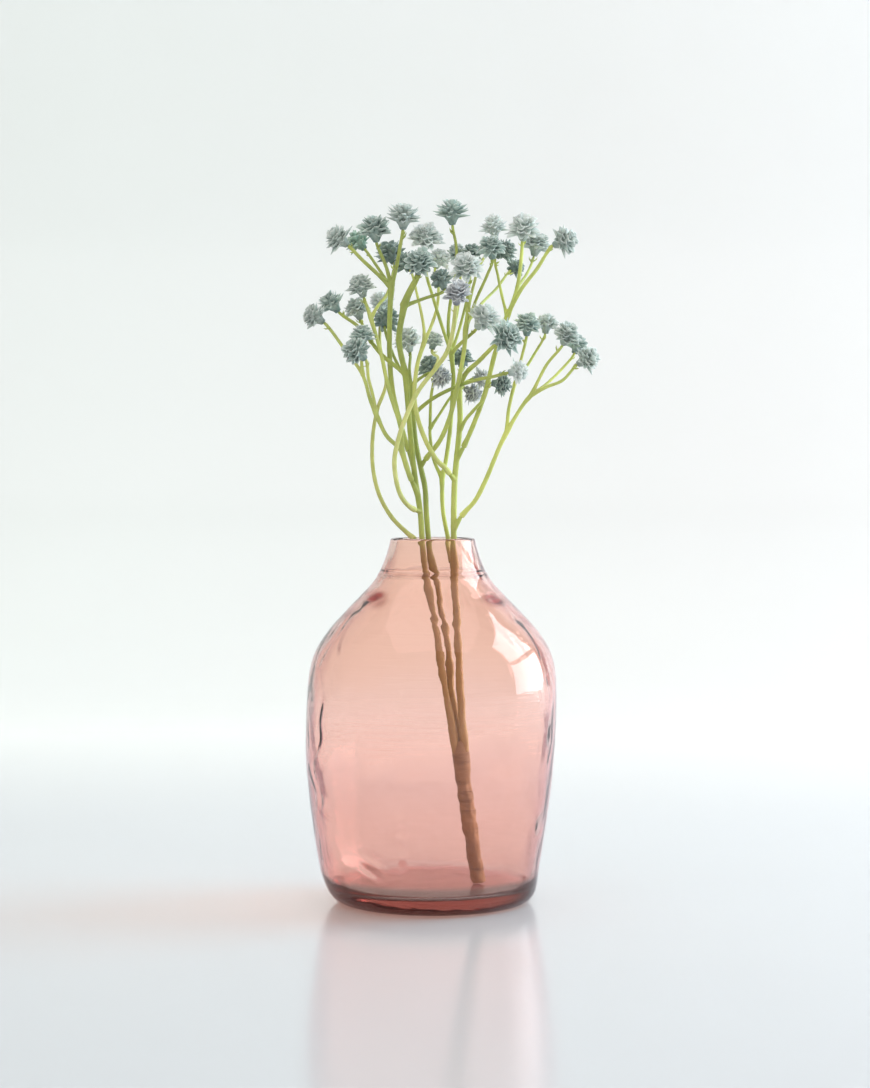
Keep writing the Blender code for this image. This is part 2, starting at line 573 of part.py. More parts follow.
def with_peg(stations, way):
    """Adds a thinner peg at the end, for the part pushed on it; no peg without a way."""
    if way is None:
        return stations
    point = stations[-1][0]
    peg_end = point + way * (GAP + PEG_LENGTH)
    return [*stations, (point, PEG_RADIUS, way), (peg_end, PEG_RADIUS, way)]


def run_stations(run):
    way = end_way(run)
    return with_peg(stations_of(run_line(run), (run.start_radius, run.end_radius), way), way)


def stem_root(foot, run):
    """A main stem's first run, with the peg that plugs into the handle."""
    stations = run_stations(run._replace(points=[foot, *run.points[1:]]))
    return tube([
        (foot - HANDLE_AXIS * STEM_PEG_LENGTH, STEM_PEG_RADIUS, HANDLE_AXIS),
        (foot, STEM_PEG_RADIUS, HANDLE_AXIS),
        (foot, run.start_radius, HANDLE_AXIS),
        *stations[1:],
    ])


def sleeve_start(sprig):
    """Where a sprig clears its stem: (rest of its line, mouth of the sleeve, direction)."""
    line = run_line(sprig.runs[0], FINE_STEP)
    trunk = run_line(PIECES[sprig.parent].runs[0], TRUNK_STEP)
    k = next(k for k, point in enumerate(line) if distance_to(point, trunk) >= SLEEVE_CLEARANCE)
    return line[k:], line[k], (line[k + MOUTH_CHORD] - line[k]).normalized()


def spur(sprig):
    """The short spur and peg on the parent stem, under a sprig."""
    run = sprig.runs[0]
    _, mouth, way = sleeve_start(sprig)
    start = Vector(run.points[0])
    seat = mouth - way * GAP
    radius = run.start_radius * SPUR_SHARE
    return tube(with_peg([
        (start, radius, seat - start),
        (start.lerp(seat, 0.5), radius, seat - start),
        (seat, radius, way),
    ], way))


def sprig_root(sprig):
    """A sprig's first run, with the blind bore in its foot."""
    run = sprig.runs[0]
    rest, mouth, way = sleeve_start(sprig)
    clear = SLEEVE_STRAIGHT + SLEEVE_EASE
    tail = [point for point in rest if (point - mouth).length > clear]
    line = resample([mouth + way * SLEEVE_STRAIGHT, *tail], RING_STEP)
    last = end_way(run)
    body = stations_of(line, (run.start_radius, run.end_radius), last)
    return tube(with_peg([
        (mouth + way * BORE_DEPTH, BORE_RADIUS, way),
        (mouth, BORE_RADIUS, way),
        (mouth, SLEEVE_RADIUS, way),
        (mouth + way * SLEEVE_LENGTH, SLEEVE_RADIUS, way),
        *body[1:],
    ], last))


def fork_balls(runs):
    """A small swelling at every fork, sized by the thickest ray that meets there."""
    balls = []
    for fork in dict.fromkeys(run.points[0] for run in runs[1:]):
        leaving = [run.start_radius for run in runs[1:] if run.points[0] == fork]
        arriving = [run.end_radius for run in runs if run.points[-1] == fork]
        balls.append(ball(Vector(fork), 1.12 * max(leaving + arriving) + 0.12))
    return balls


def build_piece(name):
    """A main stem or a sprig, with the spurs of the sprigs it carries."""
    piece = PIECES[name]
    if name in SOCKET_ANGLES:
        origin = stem_foot(name)
        root = stem_root(origin, piece.runs[0])
    else:
        origin = sleeve_start(piece)[1]
        root = sprig_root(piece)
    shapes = [
        root,
        *(tube(run_stations(run)) for run in piece.runs[1:]),
        *fork_balls(piece.runs),
        *(spur(child) for child in PIECES.values() if child.parent == name),
    ]
    green = material(f"{name}_green", piece.green, roughness=0.5)
    return fused(name, shapes, origin, green)


# --------------------------------------------------------------------- heads
def build_head(number):
    """A rosette on a cup: a scalloped skirt of petals, a raised inner whorl, a blind socket."""
    head = HEADS[number]
    radius = head.radius
    top = cup_height(radius)
    # Radius at the petal tips and at the notches, height at the tips and at the notches
    profile = [
        (BORE_RADIUS, BORE_RADIUS, BORE_DEPTH, BORE_DEPTH),
        (BORE_RADIUS, BORE_RADIUS, 0.0, 0.0),
        (HEAD_NECK_RADIUS, HEAD_NECK_RADIUS, 0.0, 0.0),
        (0.42 * radius, 0.42 * radius, 0.5 * top, 0.5 * top),
        (0.78 * radius, 0.66 * radius, 0.8 * top, 0.85 * top),
        (radius, 0.74 * radius, top + 0.12 * radius, top),
        (0.62 * radius, 0.66 * radius, top + 0.16 * radius, top + 0.42 * radius),
    ]
    bm = bmesh.new()
    rings = []
    for tip_radius, notch_radius, tip_height, notch_height in profile:
        ring = []
        for k in range(head.petals):
            for half, reach, height in ((0, tip_radius, tip_height),
                                        (1, notch_radius, notch_height)):
                angle = math.pi * (2 * k + half) / head.petals
                ring.append(bm.verts.new(
                    (reach * math.cos(angle), reach * math.sin(angle), height)))
        rings.append(ring)
    skin(bm, rings)
    fan(bm, rings[-1], top + 0.5 * radius)

    petals = material(f"petals_{number:02d}_{head.tone}", TONES[head.tone], roughness=0.55)
    obj = object_of(f"head_{number:02d}", bm, Vector((0, 0, 0)), petals)
    seat, way = head_seat(number)
    obj.rotation_euler = way.to_track_quat("Z", "Y").to_euler()
    obj.location = seat * MM
    return obj


# ------------------------------------------------------------------ assembly
def hang_on_lift_axis(parts):
    """Parents the spray to an empty on the line along which it lifts out of the vase."""
    lift = bpy.data.objects.new("spray_lift_axis", None)
    lift.empty_display_size = 0.02
    lift.location = HANDLE_FOOT * MM
    lift.rotation_euler = HANDLE_AXIS.to_track_quat("Z", "Y").to_euler()
    bpy.context.scene.collection.objects.link(lift)
    bpy.context.view_layer.update()
    for part in parts:
        part.parent = lift
        part.matrix_parent_inverse = lift.matrix_world.inverted()


def main():
    clear_scene()
    build_vase()
    handle_parts = build_handle()
    pieces = [build_piece(name) for name in PIECES]
    heads = [build_head(number) for number in HEADS]
    hang_on_lift_axis([*handle_parts, *pieces, *heads])


main()
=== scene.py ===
"""A rose glass bud vase and its artificial spray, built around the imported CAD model.

The vase stands on z = 0 about the z axis.  The camera looks along +y, with +x to its right.
Meshes, materials and lights are in metres in the CAD's frame; the design tables and the
dimensions of the vase and spray are in millimetres.
"""
import math
import random

import bmesh
import bpy
import numpy as np
from mathutils import Matrix, Vector, noise


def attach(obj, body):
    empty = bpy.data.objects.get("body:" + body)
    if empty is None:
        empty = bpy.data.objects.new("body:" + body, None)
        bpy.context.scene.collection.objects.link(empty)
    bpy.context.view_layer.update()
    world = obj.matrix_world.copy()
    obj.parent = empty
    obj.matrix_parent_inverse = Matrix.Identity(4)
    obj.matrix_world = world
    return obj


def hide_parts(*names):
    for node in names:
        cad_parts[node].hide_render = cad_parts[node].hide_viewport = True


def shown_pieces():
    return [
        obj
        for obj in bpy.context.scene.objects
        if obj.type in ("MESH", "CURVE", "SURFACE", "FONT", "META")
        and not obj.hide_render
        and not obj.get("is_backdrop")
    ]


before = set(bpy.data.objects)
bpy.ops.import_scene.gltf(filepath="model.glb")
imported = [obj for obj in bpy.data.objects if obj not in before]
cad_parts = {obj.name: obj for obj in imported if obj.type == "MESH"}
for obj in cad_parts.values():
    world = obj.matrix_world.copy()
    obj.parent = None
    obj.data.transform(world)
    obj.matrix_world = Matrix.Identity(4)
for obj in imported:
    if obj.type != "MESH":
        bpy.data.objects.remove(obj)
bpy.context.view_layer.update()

MM = 0.001
scene = bpy.context.scene

# ---- dimensions, millimetres ----
VASE_HEIGHT = 146.0
FOOT_RADIUS = 34.0
BODY_RADIUS = 50.2
MOUTH_RADIUS = 17.0
WALL = 2.2
FLOOR = 7.0
LIP = 1.1
LEAN = -1.3  # sideways drift of the hand-blown body below its shoulder

HANDLE_TOP = Vector((11.0, -3.4, 60.5))
HANDLE_FOOT = Vector((18.3, -3.4, 7.6))
HANDLE_AXIS = (HANDLE_TOP - HANDLE_FOOT).normalized()
HANDLE_RADII = (2.7, 2.9, 3.2, 3.5)  # evenly spaced from the foot up
HANDLE_STEP = 0.5
TAPE_RUN = 5.0  # how far the tape runs up over the stems
TAPE_END = 0.66  # its share of the width there
SOCKET_RING = 2.0  # distance of the three stem sockets from the handle's axis
SOCKET_RADIUS = 1.2
SOCKET_DEPTH = 8.0
SOCKET_TURNS = {"stem_a": 210.0, "stem_b": 90.0, "stem_c": 330.0}  # degrees
STEM_PEG = 0.85
STEM_FULLNESS = 1.10  # share of the tabled radii that the stems are built to

PEG_RADIUS = 0.42
PEG_LENGTH = 2.0
SLEEVE_RADIUS = 1.2
GAP = 0.3  # left between a piece and what it is pushed on to

# Flower heads: centre of the rosette, the way it faces, radius, tone
HEADS = {
    1: ((-38, -5, 265.5), (-0.75, -0.3, 0.55), 5.8, "grey"),
    2: ((-30.5, 9, 265.5), (-0.6, 0.2, 0.7), 5.1, "teal"),
    3: ((-23, -10, 269), (-0.1, -0.3, 0.95), 6.6, "blue"),
    4: ((-11.5, -14, 273.5), (0.05, -0.2, 0.98), 6.4, "grey"),
    5: ((7.5, 4, 277), (-0.05, -0.1, 1.0), 6.4, "blue"),
    6: ((-2.5, -6, 266), (0.1, -0.55, 0.8), 6.8, "pale"),
    7: ((-5.1, -30, 254), (0.1, -0.6, 0.75), 6.4, "blue"),
    8: ((-17.6, 16, 261.5), (-0.3, 0.3, 0.8), 5.9, "dark"),
    9: ((2.5, 8, 258.5), (0.3, 0.2, 0.8), 4.9, "pale"),
    10: ((3, -14, 248.5), (-0.3, 0.2, 0.8), 4.9, "dark"),
    11: ((10, 17, 261.5), (-0.2, 0.1, 0.9), 4.7, "grey"),
    12: ((13, -26, 252.5), (-0.05, -0.7, 0.65), 6.6, "pale"),
    13: ((24.5, 12, 272), (-0.1, -0.3, 0.9), 5.6, "pale"),
    14: ((23, -12, 261.5), (-0.1, -0.3, 0.85), 5.8, "blue"),
    15: ((29, 1, 261), (0.7, -0.3, 0.5), 5.1, "dark"),
    16: ((-11.5, 4, 256.5), (-0.5, 0.3, 0.7), 4.5, "dark"),
    17: ((36, -4, 270), (0.05, -0.45, 0.85), 6.8, "pale"),
    18: ((42, 14, 265), (0.2, -0.1, 0.9), 6.0, "grey"),
    19: ((52.5, -10, 264), (0.85, -0.35, 0.35), 6.2, "grey"),
    20: ((34, 24, 256), (0.6, 0.6, 0.4), 3.9, "dark"),
    21: ((9.5, -38, 241.5), (0.1, -0.5, 0.8), 5.8, "lilac"),
    22: ((-29, -2, 247), (-0.25, -0.2, 0.9), 5.6, "grey"),
    23: ((-41, 4, 240.5), (-0.6, -0.1, 0.75), 5.4, "blue"),
    24: ((-47.5, -6, 234.5), (-0.75, -0.2, 0.5), 5.4, "grey"),
    25: ((-31, 14, 239), (-0.3, -0.1, 0.9), 5.6, "grey"),
    26: ((-21.5, 28, 242.5), (0.0, 0.3, 0.9), 5.2, "pale"),
    27: ((-19, 20, 235), (0.1, 0.6, 0.7), 5.5, "dark"),
    28: ((-28, -10, 227), (0.0, -0.15, 1.0), 5.1, "blue"),
    29: ((-30, -24, 220), (-0.6, -0.4, 0.6), 6.0, "blue"),
    30: ((-10.6, 16, 226.5), (-0.2, -0.3, 0.8), 6.2, "pale"),
    31: ((0.5, 4, 225.5), (0.2, 0.0, 0.8), 4.1, "grey"),
    32: ((-1.4, 10, 215.6), (-0.3, 0.2, 0.8), 5.0, "dark"),
    33: ((3.5, 1, 210.5), (0.8, -0.3, -0.3), 4.7, "lilac"),
    34: ((20.5, -16, 233.5), (0.5, -0.3, 0.7), 6.8, "pale"),
    35: ((28.7, -30, 225), (0.6, -0.65, 0.4), 6.9, "blue"),
    36: ((37.5, -6, 231.5), (0.05, -0.3, 0.9), 5.6, "blue"),
    37: ((45.5, 4, 232.5), (0.1, 0.0, 0.95), 4.9, "grey"),
    38: ((53, -14, 227), (0.3, -0.5, 0.75), 5.8, "grey"),
    39: ((58, 4, 224), (0.3, 0.2, 0.9), 4.5, "blue"),
    40: ((61.5, -10, 217.5), (0.75, -0.3, 0.45), 5.6, "grey"),
    41: ((33.5, -32, 211.5), (0.9, 0.1, 0.15), 4.7, "pale"),
    42: ((12, 20, 219), (0.1, 0.5, 0.8), 4.8, "dark"),
    43: ((20, 12, 210.5), (0.9, 0.2, 0.2), 4.3, "lilac"),
    44: ((27.5, -15, 207), (0.9, -0.1, -0.1), 4.7, "dark"),
    45: ((16.5, 16, 204), (0.7, -0.2, -0.5), 4.5, "lilac"),
    46: ((15.8, 9, 260.9), (0.1, 0.0, 0.95), 4.6, "dark"),
}
SPIKY_HEADS = (1, 4, 5, 13, 15, 23)

# Each moulded piece: its parent and its runs.  A run: way points, radius at the start and at
# the end, and the head it carries (None where it only carries other runs).  The first point of
# a later run lies on an earlier run; the first point of a sprig lies on its parent.
STEMS = {
    "stem_a": ("stem_handle", [
        ([(9.3, -4.6, 60.5), (6, -3.8, 79), (2.2, -2.6, 102), (-1.6, -1.4, 123), (-4.1, -0.4, 143),
          (-5.1, -0.6, 156.5), (-7, -1.5, 169), (-8.4, -2.5, 181), (-9.8, -3.5, 197),
          (-11, -4.5, 211.5)], 1.2, 1.0, None),
        ([(-11, -4.5, 211.5), (-20.4, -5, 219), (-24.5, -4, 224), (-30, -1, 230.5)], 0.85, 0.6, 23),
        ([(-24.5, -4, 224), (-27, 3, 229)], 0.65, 0.55, 25),
        ([(-11, -4.5, 211.5), (-13.4, -12, 224.5), (-11.4, -18, 237.5)], 1.05, 1.15, None),
        ([(-11.4, -18, 237.5), (-9.8, -21, 241.5)], 1.35, 1.05, 7),
        ([(-11.4, -18, 237.5), (-3.5, -16.5, 240.5)], 0.7, 0.55, 10),
    ]),
    "stem_b": ("stem_handle", [
        ([(11, -1.4, 60.5), (7.8, 0.4, 82.5), (5.2, 2, 107), (2, 3, 125), (-1.2, 3.8, 141),
          (-2.6, 4, 155), (-3.2, 3.8, 166), (-5, 3.6, 174.5), (-7, 4.6, 184.5), (-8, 6.2, 195.5),
          (-9, 8, 207)], 1.15, 0.95, None),
        ([(-9, 8, 207), (-9.5, 13, 214)], 0.7, 0.55, 30),
        ([(-9, 8, 207), (-13.5, 15, 214.5), (-17, 19, 222)], 0.7, 0.55, 27),
        ([(-9, 8, 207), (-5.2, 6, 210)], 0.65, 0.55, 33),
        ([(-8, 6.2, 195.5), (-1.2, 1, 201), (5.2, -4, 204.5), (16.5, -15, 208.5),
          (23, -24, 209.5)], 0.75, 0.6, 41),
    ]),
    "stem_c": ("stem_handle", [
        ([(12.7, -4.6, 60.5), (11.2, -3, 79), (10, -1.4, 101), (9, 0.2, 129), (8.3, 1, 149),
          (8.7, 1, 169), (9.4, 0.5, 177), (10.8, 0, 193), (10.4, 0, 206)], 1.25, 1.05, None),
        ([(10.4, 0, 206), (13, -6, 211.5), (18, -15, 216)], 0.95, 0.75, 35),
        ([(10.4, 0, 206), (11, 9, 211)], 0.7, 0.55, 42),
        ([(10.4, 0, 206), (13.3, 5, 208.5)], 0.7, 0.55, 43),
        ([(10.7, 0, 189), (13.2, -4, 193.5), (16.7, -8.5, 197.5), (20.2, -12, 201.5)],
         0.7, 0.55, 44),
    ]),
    "sprig_01": ("stem_a", [
        ([(-4.1, -0.4, 143), (-10.4, 3, 148), (-16.4, 4.5, 154), (-21.3, 5, 162.5), (-24, 5, 173),
          (-24.3, 6, 185.5), (-22.4, 8, 197.5), (-19, 11, 207.5), (-20, 18, 216),
          (-21.7, 25, 224.5)], 0.85, 0.6, 26),
    ]),
    "sprig_02": ("stem_a", [
        ([(-6, -1, 163), (-10, -6.5, 173), (-12.5, -9, 181.5)], 1.0, 0.95, None),
        ([(-12.5, -9, 181.5), (-18.2, -9.5, 186.5), (-22.4, -10.5, 195)], 0.8, 0.75, None),
        ([(-22.4, -10.5, 195), (-24.7, -11, 200.5), (-27.7, -11, 210.5), (-35, -8, 221)],
         0.7, 0.6, 24),
        ([(-27.7, -11, 210.5), (-28.2, -11, 216)], 0.6, 0.55, 28),
        ([(-22.4, -10.5, 195), (-23.7, -14, 202.5), (-25.3, -18, 209)], 0.7, 0.6, 29),
        ([(-12.5, -9, 181.5), (-12.3, -10, 186.5), (-13.2, -11, 191.5), (-17.4, -11, 205),
          (-21, -9, 221), (-24.7, -5, 233.5)], 0.8, 0.7, None),
        ([(-24.7, -5, 233.5), (-26, -4, 237.5)], 0.65, 0.6, 22),
        ([(-24.7, -5, 233.5), (-22, -1, 238.5), (-18.5, 5, 243.5), (-16.5, 11, 251)],
         0.65, 0.55, 8),
    ]),
    "sprig_03": ("stem_a", [
        ([(-5.1, -0.6, 156.5), (-8.4, -5, 158), (-11.5, -9, 161), (-13.8, -12, 166),
          (-15.2, -15, 176.5), (-13.4, -17, 186), (-10.2, -19, 195), (-5.9, -19, 204),
          (1, -19, 213), (5, -21, 218.5), (7.5, -27, 226)], 0.9, 0.8, 21),
        ([(1, -19, 213), (2, -10, 217.5)], 0.6, 0.5, 31),
    ]),
    "sprig_04": ("stem_a", [
        ([(-7.8, -2, 175), (-12.4, 3.5, 189.5), (-16.3, 4, 205.5), (-17.4, 2, 221.5),
          (-17, -3, 239), (-16.5, -4, 245.5)], 0.95, 1.0, None),
        ([(-16.5, -4, 245.5), (-22, -4, 251), (-28, -5, 256.5)], 0.8, 0.65, 1),
        ([(-16.5, -4, 245.5), (-21.3, 3, 253)], 0.65, 0.55, 2),
        ([(-16.5, -4, 245.5), (-18.5, -7, 253.5)], 0.75, 0.6, 3),
        ([(-16.5, -4, 245.5), (-14.5, -8, 253.5), (-13, -12, 261)], 0.75, 0.65, 4),
    ]),
    "sprig_05": ("stem_c", [
        ([(8.7, 1, 169), (4.8, -4, 174), (1.2, -7, 177.5), (-4.4, -9, 188.5), (-7.3, -9, 201),
          (-6.2, -5, 215), (-3.4, -1, 224.5)], 0.95, 0.75, None),
        ([(-3.4, -1, 224.5), (-3.8, 0, 231), (-6.5, 3, 244)], 0.6, 0.5, 16),
        ([(-3.4, -1, 224.5), (-1.2, 1, 229.5), (1.5, 5, 238), (2.2, 7, 246)], 0.65, 0.55, 9),
    ]),
    "sprig_06": ("stem_c", [
        ([(9, 0.2, 129), (7.6, 4, 136.5), (6.2, 6, 145), (4, 6, 157), (3.6, 6, 170)],
         0.85, 0.8, None),
        ([(3.6, 6, 170), (0.4, 8, 177), (-1.2, 10, 187.5), (-1.2, 10.2, 190), (-0.8, 10, 202.5)],
         0.65, 0.55, 32),
        ([(-1.2, 10.2, 190), (2.8, 13, 196), (7, 15.5, 202.5), (11.5, 17, 207.5)], 0.6, 0.5, 45),
        ([(3.6, 6, 170), (5, 7, 176), (6.9, 9, 189.5), (7.9, 10, 202.5), (8.2, 8.5, 210),
          (7.4, 5, 220)], 0.8, 0.85, None),
        ([(7.4, 5, 220), (4.2, 4, 229), (-0.6, 0, 244), (-2.6, -2, 251)], 0.7, 0.55, 6),
        ([(7.4, 5, 220), (6.2, 7, 228), (6.5, 8, 237), (9.3, 9, 254), (9.3, 7, 263)],
         0.7, 0.55, 5),
        ([(7.4, 5, 220), (10.4, -2, 223), (14, -9, 226)], 0.75, 0.6, 34),
        ([(7.4, 5, 220), (8.1, 12, 228), (10, 17, 238), (11, 18.5, 248.5)], 0.6, 0.5, 11),
        ([(7.4, 5, 220), (11.2, 8, 232), (14.4, 9, 246)], 0.6, 0.5, 46),
    ]),
    "sprig_07": ("stem_b", [
        ([(-5, 3.6, 174.5), (-2.2, 1, 178.5), (2.8, -3, 185), (6.6, -7, 194), (9.5, -12, 205.5),
          (12.2, -13, 220), (12.8, -14, 228)], 0.9, 0.8, None),
        ([(12.8, -14, 228), (13.6, -16, 235.5), (14, -18, 241.5)], 0.75, 0.65, 12),
        ([(12.8, -14, 228), (14.7, -8, 233.5), (17, -4, 240.5), (21.5, -6, 250.5)],
         0.65, 0.55, 14),
        ([(14.7, -8, 233.5), (20, 6, 240.5), (26, 15, 247)], 0.6, 0.5, 20),
        ([(13.6, -16, 235.5), (16, -7, 246), (18.5, 4, 254.5), (22.5, 11, 262)], 0.6, 0.5, 13),
    ]),
    "sprig_08": ("stem_c", [
        ([(9.4, 0.5, 177), (12, -2, 182), (16, -4, 191), (20.7, -7, 204), (24.6, -8, 219.5),
          (29.4, -7, 234)], 0.9, 0.85, None),
        ([(29.4, -7, 234), (27.5, -4, 242), (26, -1, 250)], 0.6, 0.5, 15),
        ([(29.4, -7, 234), (31.4, -6, 239), (33.4, -5, 245.5), (34.7, -4, 253.5)], 0.8, 0.65, 17),
        ([(33.4, -5, 245.5), (38, 6, 252.5)], 0.6, 0.5, 18),
        ([(29.4, -7, 234), (32, -11, 239.5), (35.2, -12, 245), (41, -11, 252.5)], 0.8, 0.65, 19),
    ]),
    "sprig_09": ("stem_c", [
        ([(8.3, 1, 149), (10.8, 0, 154), (16.8, -2, 161), (20.7, -3, 168.5), (26.7, -5, 183),
          (29.4, -6, 188.5)], 0.9, 0.8, None),
        ([(29.4, -6, 188.5), (30, -5, 196.5), (31.7, -4, 204.5), (33.5, -3, 210.5)],
         0.7, 0.65, None),
        ([(33.5, -3, 210.5), (35, -4, 217)], 0.6, 0.55, 36),
        ([(33.5, -3, 210.5), (37, 1, 214), (40.5, 3, 219.5)], 0.6, 0.5, 37),
        ([(29.4, -6, 188.5), (32.5, -8, 194), (36, -10, 199.5), (39, -11, 203)], 0.75, 0.7, None),
        ([(39, -11, 203), (41.5, -13, 208.5), (45, -13, 215)], 0.65, 0.55, 38),
        ([(39, -11, 203), (44.6, -5, 207), (50, 0, 212)], 0.6, 0.5, 39),
        ([(39, -11, 203), (45, -12, 206), (51, -12, 208.5)], 0.65, 0.55, 40),
    ]),
}


# ---- lines, millimetres ----
def between(start, end, start_time, end_time, time):
    length = end_time - start_time
    return start * ((end_time - time) / length) + end * ((time - start_time) / length)


def smooth_line(points, step, lead_out=None):
    """Evenly spaced points of a centripetal Catmull-Rom curve through the way points."""
    last = lead_out if lead_out else points[-1] * 2 - points[-2]
    line = [points[0] * 2 - points[1], *points, last]
    dense = [points[0]]
    for four in zip(line, line[1:], line[2:], line[3:]):
        times = [0.0]
        for start, end in zip(four, four[1:]):
            times.append(times[-1] + max((end - start).length, 1e-6) ** 0.5)
        for k in range(1, 17):
            now = times[1] + (times[2] - times[1]) * k / 16
            spans = [between(four[j], four[j + 1], times[j], times[j + 1], now) for j in range(3)]
            early = between(spans[0], spans[1], times[0], times[2], now)
            late = between(spans[1], spans[2], times[1], times[3], now)
            dense.append(between(early, late, times[1], times[2], now))
    return resample(dense, step)


def resample(dense, step):
    lengths = [0.0]
    for start, end in zip(dense, dense[1:]):
        lengths.append(lengths[-1] + (end - start).length)
    count = max(2, round(lengths[-1] / step) + 1)
    out, k = [], 0
    for i in range(count):
        want = lengths[-1] * i / (count - 1)
        while k < len(dense) - 2 and lengths[k + 1] < want:
            k += 1
        span = max(lengths[k + 1] - lengths[k], 1e-9)
        out.append(dense[k].lerp(dense[k + 1], min(1.0, (want - lengths[k]) / span)))
    return out


def directions(line, last=None):
    ways = []
    for k in range(len(line)):
        ways.append((line[min(k + 1, len(line) - 1)] - line[max(k - 1, 0)]).normalized())
    if last is not None:
        ways[-1] = last.normalized()
    return ways


def point_back(line, back):
    """The point that lies a given distance back from the end of a line."""
    line = line[::-1]
    walked = 0.0
    for start, end in zip(line, line[1:]):
        span = (end - start).length
        if walked + span >= back:
            return start.lerp(end, (back - walked) / span)
        walked += span
    return line[0]


def distance_to(point, line):
    gaps = []
    for start, end in zip(line, line[1:]):
        span = end - start
        share = (point - start).dot(span) / max(span.length_squared, 1e-12)
        gaps.append((point - start - span * max(0.0, min(1.0, share))).length)
    return min(gaps)


# ---- where the pieces meet ----
def cup_height(radius):
    """Distance from a head's seat to the centre of its rosette."""
    return 0.75 * radius + 1.0


def head_seat(number):
    centre, facing, radius, _ = HEADS[number]
    way = Vector(facing).normalized()
    return Vector(centre) - way * cup_height(radius), way


def run_line(points, head, step):
    """A run's line, ended just short of its head's seat, and the way it ends."""
    points = [Vector(point) for point in points]
    if head is None:
        return smooth_line(points, step), None
    seat, way = head_seat(head)
    end = seat - way * GAP
    return smooth_line([*points, end], step, lead_out=end + way * 6.0), way


def split_for_sleeve(name):
    """The rest of a sprig's first run once clear of its parent, its first point and its way."""
    parent, runs = STEMS[name]
    points, _, _, head = runs[0]
    line, _ = run_line(points, head, 0.5)
    points, _, _, head = STEMS[parent][1][0]
    trunk, _ = run_line(points, head, 2.0)
    clear = 1.25 + SLEEVE_RADIUS + 0.7
    k = next(k for k, point in enumerate(line) if distance_to(point, trunk) >= clear)
    return line[k:], line[k], (line[k + 4] - line[k]).normalized()


def across_way(side, way):
    """The part of a direction that lies square to the way, as a unit vector."""
    return (side - way * side.dot(way)).normalized()


def stem_socket(name):
    """The point just above the handle where a main stem enters its socket."""
    turn = math.radians(SOCKET_TURNS[name])
    side = across_way(Vector((math.cos(turn), math.sin(turn), 0.0)), HANDLE_AXIS)
    return HANDLE_TOP + side * SOCKET_RING + HANDLE_AXIS * GAP


# ---- meshes and objects ----
def metres(point):
    return (point.x * MM, point.y * MM, point.z * MM)


class Shell:
    """Points in metres and faces of a mesh that is mostly grown ring by ring."""

    def __init__(self):
        self.verts, self.faces, self.last = [], [], None

    def ring(self, points):
        """Add a ring, joined to the one before, or closed by a face where it starts a tube."""
        base, self.sides = len(self.verts), len(points)
        self.verts += points
        if self.last is None:
            self.faces.append(tuple(base + k for k in reversed(range(self.sides))))
        else:
            for k in range(self.sides):
                after = (k + 1) % self.sides
                face = (self.last + k, self.last + after, base + after, base + k)
                self.faces.append(face)
        self.last = base

    def close(self):
        self.faces.append(tuple(self.last + k for k in range(self.sides)))
        self.last = None

    def close_to(self, tip):
        """Close the last ring with triangles that meet in a point."""
        base, last = len(self.verts), self.last
        self.verts.append(tip)
        self.faces += [(last + k, last + (k + 1) % self.sides, base) for k in range(self.sides)]
        self.last = None

    def mesh(self, name):
        mesh = bpy.data.meshes.new(name)
        mesh.from_pydata(self.verts, [], self.faces)
        return mesh


def around(point, side, way, radii):
    """A ring of points in metres, one for each of the radii."""
    up = way.cross(side)
    ring = []
    for k, radius in enumerate(radii):
        angle = 2 * math.pi * k / len(radii)
        ring.append(metres(point + (side * math.cos(angle) + up * math.sin(angle)) * radius))
    return ring


def add_tube(shell, stations, sides):
    """A closed tube through stations of point, radius and way."""
    side = stations[0][2].normalized().orthogonal().normalized()
    for point, radius, way in stations:
        way = way.normalized()
        side = across_way(side, way)
        shell.ring(around(point, side, way, [radius] * sides))
    shell.close()


def add_ball(shell, centre, radius):
    ball = bmesh.new()
    bmesh.ops.create_icosphere(ball, subdivisions=2, radius=radius)
    base = len(shell.verts)
    shell.verts += [metres(centre + vert.co) for vert in ball.verts]
    ball.verts.index_update()
    for face in ball.faces:
        shell.faces.append(tuple(base + vert.index for vert in face.verts))
    ball.free()


def face_outward(mesh, extra=None):
    """Turn the faces outward, once any extra shell is added."""
    work = bmesh.new()
    work.from_mesh(mesh)
    if extra:
        made = [work.verts.new(vert) for vert in extra.verts]
        for face in extra.faces:
            work.faces.new([made[i] for i in face])
    bmesh.ops.recalc_face_normals(work, faces=work.faces)
    work.to_mesh(mesh)
    work.free()


def add_values(mesh, **lists):
    for label, values in lists.items():
        attribute = mesh.attributes.new(label, "FLOAT", "POINT")
        attribute.data.foreach_set("value", np.array(values, np.float32))


def new_object(name, data):
    obj = bpy.data.objects.new(name, data)
    scene.collection.objects.link(obj)
    return obj


def apply_modifiers(obj):
    bpy.context.view_layer.update()
    graph = bpy.context.evaluated_depsgraph_get()
    mesh = bpy.data.meshes.new_from_object(obj.evaluated_get(graph))
    obj.modifiers.clear()
    obj.data = mesh
    return mesh


def stand_for(obj, body, node):
    """Put an object under its body's empty and hide the CAD piece that it stands for."""
    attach(obj, body)
    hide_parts(node)


